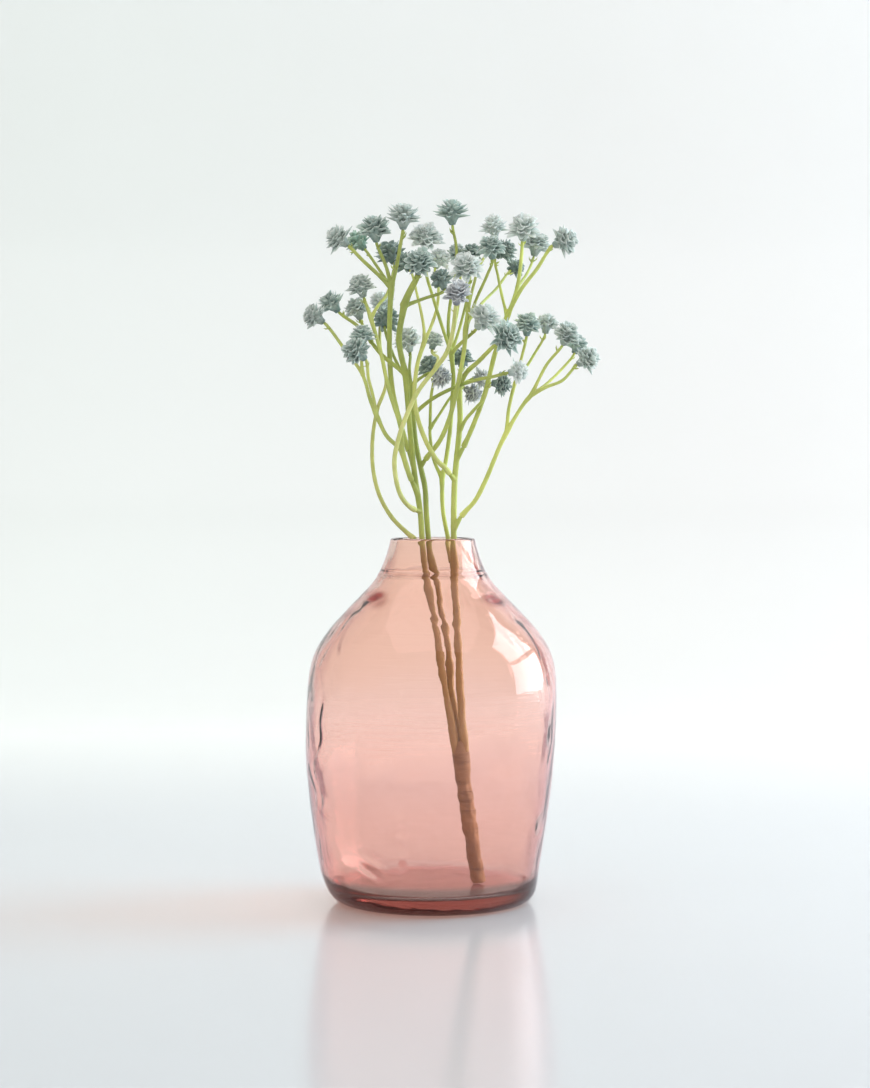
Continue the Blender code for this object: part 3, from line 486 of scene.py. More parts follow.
# ---- node trees ----
class Nodes:
    """A short way to write the node tree of a material or a world."""

    def __init__(self, owner, output="ShaderNodeOutputMaterial"):
        self.owner = owner
        owner.use_nodes = True
        self.tree = owner.node_tree
        self.tree.nodes.clear()
        self.out = self.add(output)

    def add(self, kind, **settings):
        node = self.tree.nodes.new(kind)
        for key, value in settings.items():
            setattr(node, key, value)
        return node

    def put(self, socket, value):
        if hasattr(value, "is_output"):
            self.tree.links.new(value, socket)
        elif socket.type == "RGBA":
            socket.default_value = (*value, 1.0)
        else:
            socket.default_value = value

    def filled(self, kind, **inputs):
        """The first output of a new node with its inputs set."""
        node = self.add(kind)
        for key, value in inputs.items():
            self.put(node.inputs[key.replace("_", " ")], value)
        return node.outputs[0]

    def principled(self, **inputs):
        return self.filled("ShaderNodeBsdfPrincipled", **inputs)

    def math(self, operation, first, second=0.0, clamp=False):
        node = self.add("ShaderNodeMath", operation=operation, use_clamp=clamp)
        self.put(node.inputs[0], first)
        self.put(node.inputs[1], second)
        return node.outputs[0]

    def times(self, first, second, clamp=False):
        return self.math("MULTIPLY", first, second, clamp)

    def plus(self, first, second):
        return self.math("ADD", first, second)

    def less(self, first, second):
        return self.math("SUBTRACT", first, second)

    def rest(self, share):
        """One less the share."""
        return self.less(1.0, share)

    def sway(self, value, size):
        """A value of 0 to 1 turned into a swing of the given size about 0."""
        return self.times(self.less(value, 0.5), size)

    def ramp(self, value, stops):
        node = self.add("ShaderNodeValToRGB")
        elements = node.color_ramp.elements
        while len(elements) > 1:
            elements.remove(elements[-1])
        for k, (place, colour) in enumerate(stops):
            element = elements.new(place) if k else elements[0]
            element.position = place
            element.color = (*colour, 1.0)
        self.put(node.inputs[0], value)
        return node.outputs[0]

    def mix(self, share, first, second, blend="MIX"):
        node = self.add("ShaderNodeMix", data_type="RGBA", blend_type=blend)
        for index, value in ((0, share), (6, first), (7, second)):
            self.put(node.inputs[index], value)
        return node.outputs[2]

    def deepen(self, share, colour, shade):
        """The colour multiplied by the shade over part of it."""
        return self.mix(share, colour, self.mix(1.0, colour, shade, "MULTIPLY"))

    def mix_shaders(self, share, first, second):
        node = self.add("ShaderNodeMixShader")
        for socket, value in zip(node.inputs, (share, first, second)):
            self.put(socket, value)
        return node.outputs[0]

    def coords(self):
        return self.add("ShaderNodeTexCoord").outputs["Object"]

    def axes(self):
        node = self.add("ShaderNodeSeparateXYZ")
        self.put(node.inputs[0], self.coords())
        return node.outputs

    def height(self):
        return self.axes()["Z"]

    def noise(self, scale=1.0, detail=2.0, rough=0.5, stretch=(1, 1, 1), distortion=0.0):
        mapped = self.filled("ShaderNodeMapping", Vector=self.coords(), Scale=stretch)
        return self.filled("ShaderNodeTexNoise", Vector=mapped, Scale=scale, Detail=detail,
                           Roughness=rough, Distortion=distortion)

    def span(self, value, low, high):
        """A smooth rise from 0 at low to 1 at high."""
        node = self.add("ShaderNodeMapRange", interpolation_type="SMOOTHSTEP")
        self.put(node.inputs["Value"], value)
        node.inputs["From Min"].default_value = low
        node.inputs["From Max"].default_value = high
        return node.outputs["Result"]

    def attribute(self, name):
        return self.add("ShaderNodeAttribute", attribute_name=name).outputs["Fac"]

    def light_path(self):
        return self.add("ShaderNodeLightPath").outputs

    def bump(self, height, strength, distance):
        return self.filled("ShaderNodeBump", Strength=strength, Distance=distance, Height=height)

    def finish(self, shader, volume=None):
        self.put(self.out.inputs["Surface"], shader)
        if volume is not None:
            self.put(self.out.inputs["Volume"], volume)
        return self.owner


def new_material(name):
    return Nodes(bpy.data.materials.new(name))


# ---- glass ----
GLASS_TINT = [  # share of the vase's height, colour
    (0.0, (0.98, 0.75, 0.69)),
    (0.2, (0.99, 0.74, 0.68)),
    (0.35, (0.985, 0.768, 0.722)),
    (0.55, (1.0, 0.832, 0.786)),
    (0.68, (1.0, 0.812, 0.737)),
    (0.82, (1.0, 0.797, 0.712)),
    (1.0, (1.0, 0.827, 0.751)),
]
# what the glass lets through to the table, to the stems, and to them low down
CAST = (0.93, 0.79, 0.72)
PASSED = (0.965, 0.87, 0.83)
PASSED_LOW = (1.0, 0.985, 0.98)
# painted shade on the outside of the solid base, darker where it turns away, and the heights in
# metres over which it ends
HEEL_PAINTED_SHADE = (0.37, 0.62, 0.63)
HEEL_TURNED_PAINTED_SHADE = (0.10, 0.095, 0.105)
HEEL_SHADE_FROM = 0.0105
HEEL_SHADE_TO = 0.0135
# painted light: the glass floor tinted lighter than the wall, for light from the table under the
# base
FLOOR_PAINTED_LIGHT = (1.0, 0.85, 0.80)
RUBY = (0.27, 0.012, 0.01)
# painted shade: grey and dark red lines in the wall, standing in for the dark lines that cords and
# the right edge of the neck show
CORD_PAINTED_SHADE = (0.40, 0.31, 0.36)
RED_CORD_PAINTED_SHADE = (0.34, 0.10, 0.09)
# painted shade lines: direction in degrees, slope in degrees a mm, bottom and top in mm, width in
# radians,
# darkness, whether it is red
PAINTED_SHADE_STREAKS = (
    (202.0, -0.464, 46.0, 87.0, 0.066, 1.0, False),
    (204.0, -1.64, 37.0, 44.0, 0.055, 1.0, False),
    (-24.5, -0.25, 88.0, 112.0, 0.050, 0.8, True),
    (-27.0, 0.20, 60.0, 82.0, 0.055, 1.0, False),
    (214.0, -0.5, 102.0, 116.0, 0.040, 0.6, False),
    (-30.5, 0.12, 129.0, 146.0, 0.075, 0.9, True),
    (-33.0, 0.0, 126.0, 132.5, 0.110, 0.6, True),
)
# the wall seen on edge: its painted shade, the facing over which it sets in, and its loss of
# clearness
EDGE_PAINTED_SHADE = (0.72, 0.42, 0.50)
EDGE_FROM = 0.52
EDGE_TO = 0.9
EDGE_HAZE = 0.24
CALM = 0.8  # how far mirroring is taken from the far wall
SHEEN_OUT = (1.0, 0.86, 0.85)
SHEEN_EDGE = (0.80, 0.56, 0.62)
SHEEN_IN = (0.62, 0.42, 0.42)
GLASS_SOAK = (0.76, 0.18, 0.09)
GLASS_DENSITY = 36.0
GLASS_IOR = 1.5


def painted_streak_shares(mat, z):
    """How strongly the painted shade of the grey and the dark red cord lines shows in the wall."""
    x, y, _ = mat.axes()
    turn = mat.math("ARCTAN2", y, x)
    waver = mat.sway(mat.noise(scale=120.0), size=0.09)
    grey_shade_line, red_shade_line = 0.0, 0.0
    for direction, slope, bottom, top, width, dark, red in PAINTED_SHADE_STREAKS:
        middle = math.radians((direction + 180.0) % 360.0 - 180.0)
        bottom, top = bottom * MM, top * MM
        drift = mat.times(mat.less(z, (bottom + top) / 2), math.radians(slope) / MM)
        gap = mat.less(turn, mat.plus(drift, middle))
        gap = mat.math("ABSOLUTE", mat.plus(gap, waver))
        line = mat.rest(mat.span(gap, low=width * 0.3, high=width))
        line = mat.times(line, mat.span(z, low=bottom - 0.002, high=bottom + 0.002))
        line = mat.times(line, mat.rest(mat.span(z, low=top - 0.008, high=top)))
        line = mat.times(line, dark)
        if red:
            red_shade_line = mat.math("MAXIMUM", red_shade_line, line)
        else:
            grey_shade_line = mat.math("MAXIMUM", grey_shade_line, line)
    return grey_shade_line, red_shade_line


def glass_tint(mat, z, inside, facing, backfacing, edge):
    """The colour of the wall and the ruby drops, painted shade on the base, the edges and the
    cords, and painted light on the floor.
    """
    patch = mat.noise(scale=14.0, stretch=(1, 1, 1.6))
    share = mat.plus(mat.times(z, 1.0 / (VASE_HEIGHT * MM)), mat.sway(patch, size=0.16))
    tint = mat.ramp(share, GLASS_TINT)
    # painted shade on the outside of the solid base, standing in for light turned back inside it,
    # darkest where it turns away
    heel_painted_shade = mat.mix(mat.span(facing, low=0.25, high=0.62), HEEL_PAINTED_SHADE, HEEL_TURNED_PAINTED_SHADE)
    into = mat.times(mat.rest(backfacing), mat.rest(inside))
    low = mat.rest(mat.span(z, low=HEEL_SHADE_FROM, high=HEEL_SHADE_TO))
    # painted light: the floor seen through the glass tinted lighter, for light from the table under
    # it
    floor = mat.rest(mat.span(z, low=0.0076, high=0.0088))
    tint = mat.mix(mat.times(mat.rest(into), floor), tint, FLOOR_PAINTED_LIGHT)
    tint = mat.mix(mat.times(into, low), tint, heel_painted_shade)
    # painted shade: the wall darkened where it is seen on edge
    tint = mat.deepen(edge, tint, EDGE_PAINTED_SHADE)
    # painted shade along the cords, of uneven strength along their length
    uneven = mat.noise(stretch=(30, 30, 170))
    for share, shade in zip(painted_streak_shares(mat, z), (CORD_PAINTED_SHADE, RED_CORD_PAINTED_SHADE)):
        strength = mat.plus(0.55, mat.span(uneven, low=0.3, high=0.6))
        share = mat.times(share, strength, clamp=True)
        share = mat.times(share, mat.rest(inside))
        tint = mat.deepen(share, tint, shade)
    return mat.mix(mat.attribute("ruby"), tint, RUBY)


def glass_material():
    """Hand-blown rose glass: tinted, absorbing in its thickness, with faint turned rings."""
    mat = new_material("rose_glass_blown")
    z = mat.height()
    inside = mat.attribute("inside")
    facing = mat.add("ShaderNodeLayerWeight").outputs["Facing"]
    backfacing = mat.add("ShaderNodeNewGeometry").outputs["Backfacing"]
    edge = mat.span(facing, low=EDGE_FROM, high=EDGE_TO)
    tint = glass_tint(mat, z, inside, facing, backfacing, edge)
    # faint turned rings over a slow swirl, stronger on the inside
    rings = mat.noise(detail=3.0, rough=0.6, stretch=(9, 9, 230))
    swirl = mat.noise(stretch=(42, 42, 26), distortion=0.6)
    relief = mat.plus(mat.times(rings, 0.16), swirl)
    relief = mat.times(relief, mat.plus(0.7, mat.times(inside, 1.6)))
    normal = mat.bump(relief, strength=0.6, distance=0.00045)
    glass = mat.principled(
        Base_Color=tint, Roughness=0.0, IOR=GLASS_IOR, Normal=normal,
        Transmission_Weight=mat.rest(mat.times(edge, EDGE_HAZE)), Specular_IOR_Level=0.5,
        Specular_Tint=mat.mix(inside, mat.mix(edge, SHEEN_OUT, SHEEN_EDGE), SHEEN_IN),
    )
    # the far wall mirrors the window only faintly
    lights = mat.light_path()
    far = mat.math("GREATER_THAN", lights["Transmission Depth"], 1.5)
    front = mat.rest(backfacing)
    square_on = mat.rest(mat.span(facing, low=0.12, high=0.22))
    outer_back = mat.times(mat.times(mat.rest(inside), backfacing), square_on)
    walls = mat.times(far, mat.times(mat.span(z, low=0.012, high=0.022), CALM))
    calm = mat.times(walls, mat.plus(mat.times(inside, front), outer_back))
    # square root, as light crosses both faces of the wall
    root = mat.filled("ShaderNodeGamma", Color=tint, Gamma=0.5)
    bend = mat.filled("ShaderNodeBsdfRefraction", Roughness=0.0, IOR=GLASS_IOR, Color=root,
                      Normal=normal)
    glass = mat.mix_shaders(calm, glass, bend)
    # shadow rays pass more light to the stems seen inside than to the table
    seen_inside = mat.math("GREATER_THAN", lights["Transmission Depth"], 0.5)
    passed = mat.mix(mat.rest(mat.span(z, low=0.012, high=0.017)), PASSED, PASSED_LOW)
    clear = mat.filled("ShaderNodeBsdfTransparent", Color=mat.mix(seen_inside, CAST, passed))
    soak = mat.filled("ShaderNodeVolumeAbsorption", Color=GLASS_SOAK, Density=GLASS_DENSITY)
    return mat.finish(mat.mix_shaders(lights["Is Shadow Ray"], glass, clear), soak)


# ---- stems and petals ----
TAPE_LIGHT = (0.44, 0.295, 0.155)
TAPE = (0.335, 0.226, 0.125)
TAPE_DARK = (0.23, 0.155, 0.09)
PETALS = {  # body, rim, deep
    "grey": ((0.55, 0.63, 0.585), (0.86, 0.88, 0.83), (0.24, 0.312, 0.285)),
    "pale": ((0.80, 0.86, 0.82), (0.86, 0.88, 0.85), (0.40, 0.49, 0.45)),
    "blue": ((0.428, 0.532, 0.495), (0.792, 0.849, 0.765), (0.161, 0.254, 0.236)),
    "teal": ((0.343, 0.499, 0.402), (0.71, 0.809, 0.678), (0.121, 0.234, 0.181)),
    "dark": ((0.24, 0.316, 0.294), (0.574, 0.636, 0.567), (0.1, 0.156, 0.145)),
    "lilac": ((0.52, 0.535, 0.56), (0.86, 0.87, 0.86), (0.225, 0.24, 0.27)),
}
GREENS = {  # light, dark
    "stem_a": ((0.518, 0.56, 0.142), (0.293, 0.345, 0.088)),
    "stem_b": ((0.466, 0.511, 0.133), (0.258, 0.312, 0.08)),
    "stem_c": ((0.569, 0.608, 0.168), (0.345, 0.395, 0.097)),
    "sprig_01": ((0.725, 0.724, 0.265), (0.449, 0.461, 0.142)),
    "sprig_02": ((0.656, 0.691, 0.212), (0.397, 0.445, 0.124)),
    "sprig_03": ((0.776, 0.772, 0.3), (0.5, 0.527, 0.16)),
    "sprig_04": ((0.535, 0.575, 0.16), (0.311, 0.362, 0.097)),
    "sprig_05": ((0.741, 0.757, 0.248), (0.466, 0.494, 0.142)),
    "sprig_06": ((0.569, 0.608, 0.16), (0.327, 0.379, 0.097)),
    "sprig_07": ((0.603, 0.642, 0.177), (0.362, 0.411, 0.106)),
    "sprig_08": ((0.656, 0.691, 0.177), (0.397, 0.445, 0.115)),
    "sprig_09": ((0.725, 0.757, 0.212), (0.449, 0.494, 0.133)),
}


def stem_material(name, light, dark):
    """Moulded soft plastic: yellow-green with paler streaks, browner inside the vase."""
    mat = new_material(name)
    z = mat.height()
    broad = mat.noise(scale=55.0, detail=3.0, rough=0.55)
    streak = mat.noise(detail=3.0, rough=0.6, stretch=(900, 900, 90))
    colour = mat.mix(mat.span(broad, low=0.35, high=0.68), dark, light)
    paler = tuple(min(1.0, level * 1.35 + 0.02) for level in light)
    colour = mat.mix(mat.times(streak, 0.35), colour, paler)
    below = mat.rest(mat.span(z, low=0.139, high=0.149))
    colour = mat.mix(mat.times(below, 0.86), colour, TAPE_LIGHT)
    grain = mat.noise(scale=2600.0, rough=0.6)
    relief = mat.plus(mat.times(streak, 0.6), mat.times(grain, 0.4))
    return mat.finish(mat.principled(
        Base_Color=colour, Roughness=mat.plus(mat.times(grain, 0.18), 0.42),
        Subsurface_Weight=0.25, Subsurface_Radius=(0.6, 0.9, 0.2), Subsurface_Scale=0.0009,
        Specular_IOR_Level=0.35, Normal=mat.bump(relief, strength=0.35, distance=0.00006),
    ))


def handle_material():
    """Tape-wrapped lower stem: olive brown, banded where the tape overlaps."""
    mat = new_material("handle_tape")
    bands = mat.noise(rough=0.6, stretch=(60, 60, 420), distortion=0.8)
    broad = mat.noise(scale=70.0, detail=4.0, rough=0.6)
    colour = mat.mix(mat.span(broad, low=0.3, high=0.7), TAPE, TAPE_LIGHT)
    colour = mat.mix(mat.span(bands, low=0.5, high=0.75), colour, TAPE_DARK)
    relief = mat.plus(bands, mat.times(broad, 0.6))
    return mat.finish(mat.principled(
        Base_Color=colour, Roughness=0.62, Specular_IOR_Level=0.3,
        Normal=mat.bump(relief, strength=0.6, distance=0.0004),
    ))


def petal_material(name, body, rim, deep):
    """Powdery soft plastic petals: darker towards the root, pale and worn along the edge."""
    mat = new_material(name)
    cloud = mat.noise(scale=420.0, detail=3.0, rough=0.6)
    grain = mat.noise(scale=3800.0, rough=0.6)
    colour = mat.mix(mat.span(mat.attribute("root"), low=0.0, high=0.75), deep, body)
    colour = mat.mix(mat.times(mat.span(cloud, low=0.35, high=0.7), 0.35), colour, rim)
    ragged = mat.plus(mat.attribute("edge"), mat.sway(cloud, size=0.5))
    colour = mat.mix(mat.times(mat.span(ragged, low=0.45, high=1.0), 0.85), colour, rim)
    # each petal a little darker or lighter than its neighbours
    shade = mat.ramp(mat.attribute("shade"), [(0.0, (0.72, 0.74, 0.74)), (1.0, (1.18, 1.17, 1.14))])
    colour = mat.mix(1.0, colour, shade, "MULTIPLY")
    relief = mat.plus(mat.times(cloud, 0.5), mat.times(grain, 0.5))
    return mat.finish(mat.principled(
        Base_Color=colour, Roughness=mat.plus(mat.times(grain, 0.2), 0.55),
        Subsurface_Weight=0.3, Subsurface_Radius=(0.8, 0.9, 0.9), Subsurface_Scale=0.0008,
        Specular_IOR_Level=0.3, Sheen_Weight=0.15, Sheen_Roughness=0.5,
        Normal=mat.bump(relief, strength=0.3, distance=0.00005),
    ))


# ---- vase ----
UNDERSIDE_RADII = (12.0, 22.0, 30.0)
OUTSIDE = [  # radius, height, from the foot up
    (FOOT_RADIUS, 0.0), (38.2, 1.0), (41.2, 4.2), (42.9, 9.0), (44.2, 16.0), (46.2, 29.0),
    (48.3, 45.0), (49.8, 61.0), (BODY_RADIUS, 78.0), (49.6, 92.0), (47.2, 101.0), (42.2, 109.0),
    (35.0, 117.0), (28.6, 123.5), (23.2, 129.5), (20.0, 135.5), (18.0, 141.0),
    (MOUTH_RADIUS, VASE_HEIGHT - LIP),
]
INSIDE = [  # radius, height, from the middle of the floor up
    (0.0, FLOOR), (20.0, FLOOR), (33.0, FLOOR + 0.1), (38.3, FLOOR + 0.8), (40.3, FLOOR + 3.2),
    (41.9, 17.0), (44.0, 29.0), (46.1, 45.0), (49.8 - WALL, 61.0), (BODY_RADIUS - WALL, 78.0),
    (49.5 - WALL, 91.0), (44.9, 100.2), (39.9, 108.0), (33.0, 115.6), (26.7, 122.0),
    (21.2, 128.2), (17.8, 135.0), (15.8, 141.0), (MOUTH_RADIUS - 2 * LIP, VASE_HEIGHT - LIP),
]
NECK_RING = 131.6  # height of the ring left where the neck was drawn from the shoulder
# drops of thick glass under the neck: direction in degrees, height and thickness in mm,
# width in radians, redness
RUBIES = (
    (-33.0, 121.6, 0.45, 0.20, 1.0),
    (216.0, 122.6, 0.45, 0.16, 1.0),
    (226.0, 120.6, 0.3, 0.10, 0.45),
    (194.0, 116.5, 0.3, 0.16, 0.5),
    (-17.0, 113.0, 0.3, 0.14, 0.4),
)
# direction and wobble in degrees, size in mm, width in radians, middle and reach of height in mm
CORDS = (
    (205.0, 3.5, -0.55, 0.035, 66.0, 20.0),
    (197.0, 4.0, 0.35, 0.030, 56.0, 18.0),
    (213.0, 5.0, 0.22, 0.040, 48.0, 22.0),
    (158.0, 4.0, -0.28, 0.040, 62.0, 22.0),
    (-15.0, 2.5, -0.30, 0.035, 74.0, 22.0),
    (-27.0, 2.0, 0.14, 0.040, 60.0, 26.0),
    (24.0, 3.0, 0.22, 0.050, 78.0, 26.0),
    (-21.0, 2.0, -0.42, 0.030, 97.0, 13.0),
    (201.0, 2.0, -0.25, 0.030, 103.0, 10.0),
)


def spline(knots, place):
    k = min(int(place), len(knots) - 2)
    share = place - k
    before, start, end, after = (
        np.array(knots[min(max(k + j, 0), len(knots) - 1)], float) for j in (-1, 0, 1, 2))
    return 0.5 * (2 * start + (end - before) * share
                  + (2 * before - 5 * start + 4 * end - after) * share * share
                  + (3 * start - before - 3 * end + after) * share ** 3)


def even_profile(knots, step):
    dense = [spline(knots, k / 24) for k in range((len(knots) - 1) * 24 + 1)]
    spans = [np.linalg.norm(end - start) for start, end in zip(dense, dense[1:])]
    lengths = np.concatenate([[0], np.cumsum(spans)])
    want = np.linspace(0, lengths[-1], max(2, int(lengths[-1] / step) + 1))
    dense = np.array(dense)
    return np.stack([np.interp(want, lengths, dense[:, k]) for k in (0, 1)], 1)


def bell(value, centre, width):
    return math.exp(-((value - centre) / width) ** 2)


def turn_bell(angle, degrees, width):
    gap = abs((angle - math.radians(degrees) + math.pi) % (2 * math.pi) - math.pi)
    return bell(gap, 0.0, width)


def circle_noise(angle, spread, z):
    return noise.noise(Vector((math.cos(angle) * spread, math.sin(angle) * spread, z)))


def inner_relief(height, angle, share):
    """How far the faults of the inner wall push it out, in millimetres."""
    out = 0.35 * share * circle_noise(angle, 1.6, height * 0.045)
    out += 0.13 * share * circle_noise(angle, 5.0, height * 0.09)
    # thicker glass under the neck, thickest at two sides
    out -= (0.12 + 0.25 * abs(math.cos(angle)) ** 3) * bell(height, 121.5, 1.7)
    for middle, drop_height, size, width, _ in RUBIES:
        out -= size * turn_bell(angle, middle, width) * bell(height, drop_height, 1.6)
    # cords in the left and right walls
    for middle, wobble, size, width, cord_height, spread in CORDS:
        bent = wobble * math.sin(height * 0.13 + middle) + 0.5 * wobble * math.sin(height * 0.31)
        broken = 0.55 + 0.9 * noise.noise(Vector((middle, height * 0.11, 0.0)))
        at_cord = turn_bell(angle, middle + bent, width)
        out += size * broken * at_cord * bell(height, cord_height, spread)
    # a narrow cord on the front that catches the light low down
    front = turn_bell(angle, 256, 0.035) * bell(height, 31.0, 16.0)
    out += front * (0.28 + 0.16 * math.sin(height * 0.85))
    low = turn_bell(angle, 238, 0.10) * bell(height, 19.0, 5.5)
    return out + low * 0.4 * math.sin(height * 0.9 + 20.0 * angle)


def blown(radius, height, angle, inner):
    """A point of the vase: the profile with the lean, waviness and faults of free-blown glass."""
    rise = max(0.0, height - 1.0)
    settle = min(1.0, rise / 12.0) * min(1.0, max(0.0, (105.0 - height) / 45.0))
    wave = 0.25 * math.sin(2 * angle + 0.045 * height) + 0.15 * math.sin(3 * angle - 0.06 * height)
    share = min(1.0, radius / 20.0) * min(1.0, rise / 20.0)
    reach = radius + wave * share
    if height > 1.0 and radius > 12.0:
        reach += (-0.62 if inner else 0.2) * bell(height, NECK_RING, 0.6)
    if inner and height > FLOOR + 2.0:
        reach += inner_relief(height, angle, share)
    return (
        (reach * math.cos(angle) + LEAN * settle * min(1.0, radius / 30.0)) * MM,
        reach * math.sin(angle) * MM,
        height * MM,
    )


def ruby_share(height, angle):
    """Redness of the drops and of the crease at the neck."""
    if height <= 100.0:
        return 0.0
    drops = max(red * turn_bell(angle, middle, width) * bell(height, drop_height, 1.7)
                for middle, drop_height, _, width, red in RUBIES)
    crease = bell(height, NECK_RING, 0.7) * (0.26 + 0.3 * circle_noise(angle, 3.0, 4.0))
    return min(1.0, max(1.35 * drops, crease))


def build_vase():
    step = 0.95
    sides = 240
    angles = [2 * math.pi * k / sides for k in range(sides)]
    rings = [(radius, z, False) for radius, z in even_profile(OUTSIDE, step)]
    for k, turn in enumerate(np.linspace(0, math.pi, 13)[1:-1]):
        radius = MOUTH_RADIUS - LIP + LIP * math.cos(turn)
        rings.append((radius, VASE_HEIGHT - LIP + LIP * math.sin(turn), k > 5))
    rings += [(radius, z, True) for radius, z in even_profile(INSIDE, step)[::-1][:-1]]
    shell = Shell()
    # the flat underside: its centre and three rings
    shell.verts.append((0.0, 0.0, 0.0))
    for radius in UNDERSIDE_RADII:
        shell.verts += [(radius * MM * math.cos(a), radius * MM * math.sin(a), 0.0)
                        for a in angles]
    for k in range(sides):
        after = (k + 1) % sides
        shell.faces.append((0, 1 + after, 1 + k))
        for base in (1, 1 + sides):
            outer = base + sides
            shell.faces.append((base + k, base + after, outer + after, outer + k))
    shell.last = 1 + 2 * sides
    inside = [0.0] * len(shell.verts)
    ruby = list(inside)
    for radius, z, inner in rings:
        shell.ring([blown(radius, z, angle, inner) for angle in angles])
        inside += [1.0 if inner else 0.0] * sides
        ruby += [ruby_share(z, angle) for angle in angles]
    shell.close_to((0.0, 0.0, FLOOR * MM))
    mesh = shell.mesh("rose_glass_vase")
    add_values(mesh, inside=[*inside, 1.0], ruby=[*ruby, 0.0])
    face_outward(mesh)
    mesh.shade_smooth()
    mesh.materials.append(glass_material())
    stand_for(new_object("rose_glass_vase", mesh), "vase", "vase")


# ---- stems ----
STEM_SIDES = 14


def wrapped(height, radius, seed, done):
    """Radius of a main stem: wound with tape in the vase, thickest just above the handle."""
    if height > 142.0:
        return radius
    wound = 1.45 + 0.22 * min(1.0, max(0.0, (84.0 - height) / 8.0))
    lumps = 0.24 if height > 82.0 else 0.12
    wound += lumps * noise.noise(Vector((seed * 5.1, done * 0.55, 3.0)))
    return radius + (wound - radius) * min(1.0, (142.0 - height) / 6.0)


def swollen(line, start_radius, end_radius, way, seed, flare_in=0.0, flare_out=0.0, taped=False):
    """Stations of a run, slightly irregular and flared where it leaves or reaches a fork."""
    total = sum((end - start).length for start, end in zip(line, line[1:]))
    done, out = 0.0, []
    for k, (point, along) in enumerate(zip(line, directions(line, way))):
        if k:
            done += (point - line[k - 1]).length
        share = done / max(total, 1e-6)
        radius = (start_radius + (end_radius - start_radius) * share) * STEM_FULLNESS
        if taped:
            radius = wrapped(point.z, radius, seed, done)
        radius *= 1.0 + 0.07 * noise.noise(Vector((seed * 3.7, done * 0.35, 0.0)))
        radius += flare_in * math.exp(-(done / 2.6) ** 2)
        radius += flare_out * math.exp(-((total - done) / 3.4) ** 2)
        out.append((point, radius, along))
    return out


def add_bract(shell, foot, along, out, length, width):
    """A tiny pointed scale that stands off the stem."""
    side = along.cross(out).normalized()
    tip = foot + (along * 0.75 + out * 0.62).normalized() * length
    mid = foot + (along * 0.55 + out * 0.75).normalized() * length * 0.5
    skin = out * 0.16
    base = len(shell.verts)
    shell.verts += [metres(point) for point in (
        foot + side * width * 0.42 - skin,
        foot - side * width * 0.42 - skin,
        foot - side * width * 0.3 + skin * 0.9 - along * 0.3,
        foot + side * width * 0.3 + skin * 0.9 - along * 0.3,
        mid + side * width * 0.5 - skin * 0.6,
        mid - side * width * 0.5 - skin * 0.6,
        mid - side * width * 0.3 + skin * 1.1,
        mid + side * width * 0.3 + skin * 1.1,
        tip,
    )]
    shell.faces.append((base, base + 1, base + 2, base + 3))
    for k in range(4):
        after = (k + 1) % 4
        shell.faces.append((base + k, base + after, base + 4 + after, base + 4 + k))
        shell.faces.append((base + 4 + k, base + 4 + after, base + 8))


def add_bracts(shell, line, face, radius, rng):
    """Two or three scales just below a head."""
    aside = face.orthogonal().normalized()
    for _ in range(rng.choice((2, 3))):
        place = point_back(line, rng.uniform(1.4, 3.4))
        turn = rng.uniform(0, 2 * math.pi)
        out = (aside * math.cos(turn) + face.cross(aside) * math.sin(turn)).normalized()
        add_bract(shell, place + out * radius * 0.75, face, out,
                  length=rng.uniform(1.8, 2.9), width=rng.uniform(0.65, 1.0))


def peg(end, way):
    return [(end, PEG_RADIUS + 0.05, way), (end + way * (GAP + PEG_LENGTH), PEG_RADIUS, way)]


def first_run(name, seed):
    """Line and stations of a piece's first run, from its peg or from its sleeve."""
    parent, runs = STEMS[name]
    points, start_radius, end_radius, head = runs[0]
    if parent == "stem_handle":
        foot = stem_socket(name)
        line, way = run_line([foot, *points[1:]], head, 1.0)
        wound = swollen(line, start_radius, end_radius, way, seed, flare_out=0.22, taped=True)
        return line, [(foot - HANDLE_AXIS * (SOCKET_DEPTH - 0.6), STEM_PEG, HANDLE_AXIS),
                      (foot, STEM_PEG, HANDLE_AXIS),
                      (foot + HANDLE_AXIS * 0.15, wound[1][1], HANDLE_AXIS), *wound[1:]]
    rest, mouth, start_way = split_for_sleeve(name)
    tail = [point for point in rest if (point - mouth).length > 4.6]
    line = resample([mouth + start_way * 3.6, *tail], 1.0)
    way = head_seat(head)[1] if head else None
    body = swollen(line, start_radius, end_radius, way, seed, flare_out=0.0 if head else 0.25)
    sleeve = (  # distance from the mouth, radius
        (0.0, SLEEVE_RADIUS * 0.93), (0.35, SLEEVE_RADIUS), (1.9, SLEEVE_RADIUS * 0.98),
        (3.0, 0.5 * (SLEEVE_RADIUS + start_radius)),
    )
    collar = [(mouth + start_way * reach, radius, start_way) for reach, radius in sleeve]
    return line, [*collar, *body[1:]]


def add_forks(shell, runs):
    """A ball over each point where runs part."""
    found = {}
    for points, start_radius, _, _ in runs[1:]:
        found[points[0]] = max(found.get(points[0], 0.0), start_radius)
    for fork, radius in found.items():
        meeting = [end_radius for points, _, end_radius, _ in runs if points[-1] == fork]
        add_ball(shell, Vector(fork), 1.12 * max([radius, *meeting]) + 0.12)


def add_spur(shell, sprig):
    """The short spur and peg on a parent that a sprig's sleeve is pushed on to."""
    _, mouth, way = split_for_sleeve(sprig)
    points, start_radius, _, _ = STEMS[sprig][1][0]
    start = Vector(points[0])
    seat = mouth - way * GAP
    thick = start_radius * 0.95
    stations = [(start.lerp(seat, k / 4), thick * (1.0 + 0.35 * (1 - k / 4) ** 2), seat - start)
                for k in range(4)]
    add_tube(shell, [*stations, (seat, thick, way), *peg(seat, way)], STEM_SIDES)
    add_ball(shell, start, thick * 1.25)


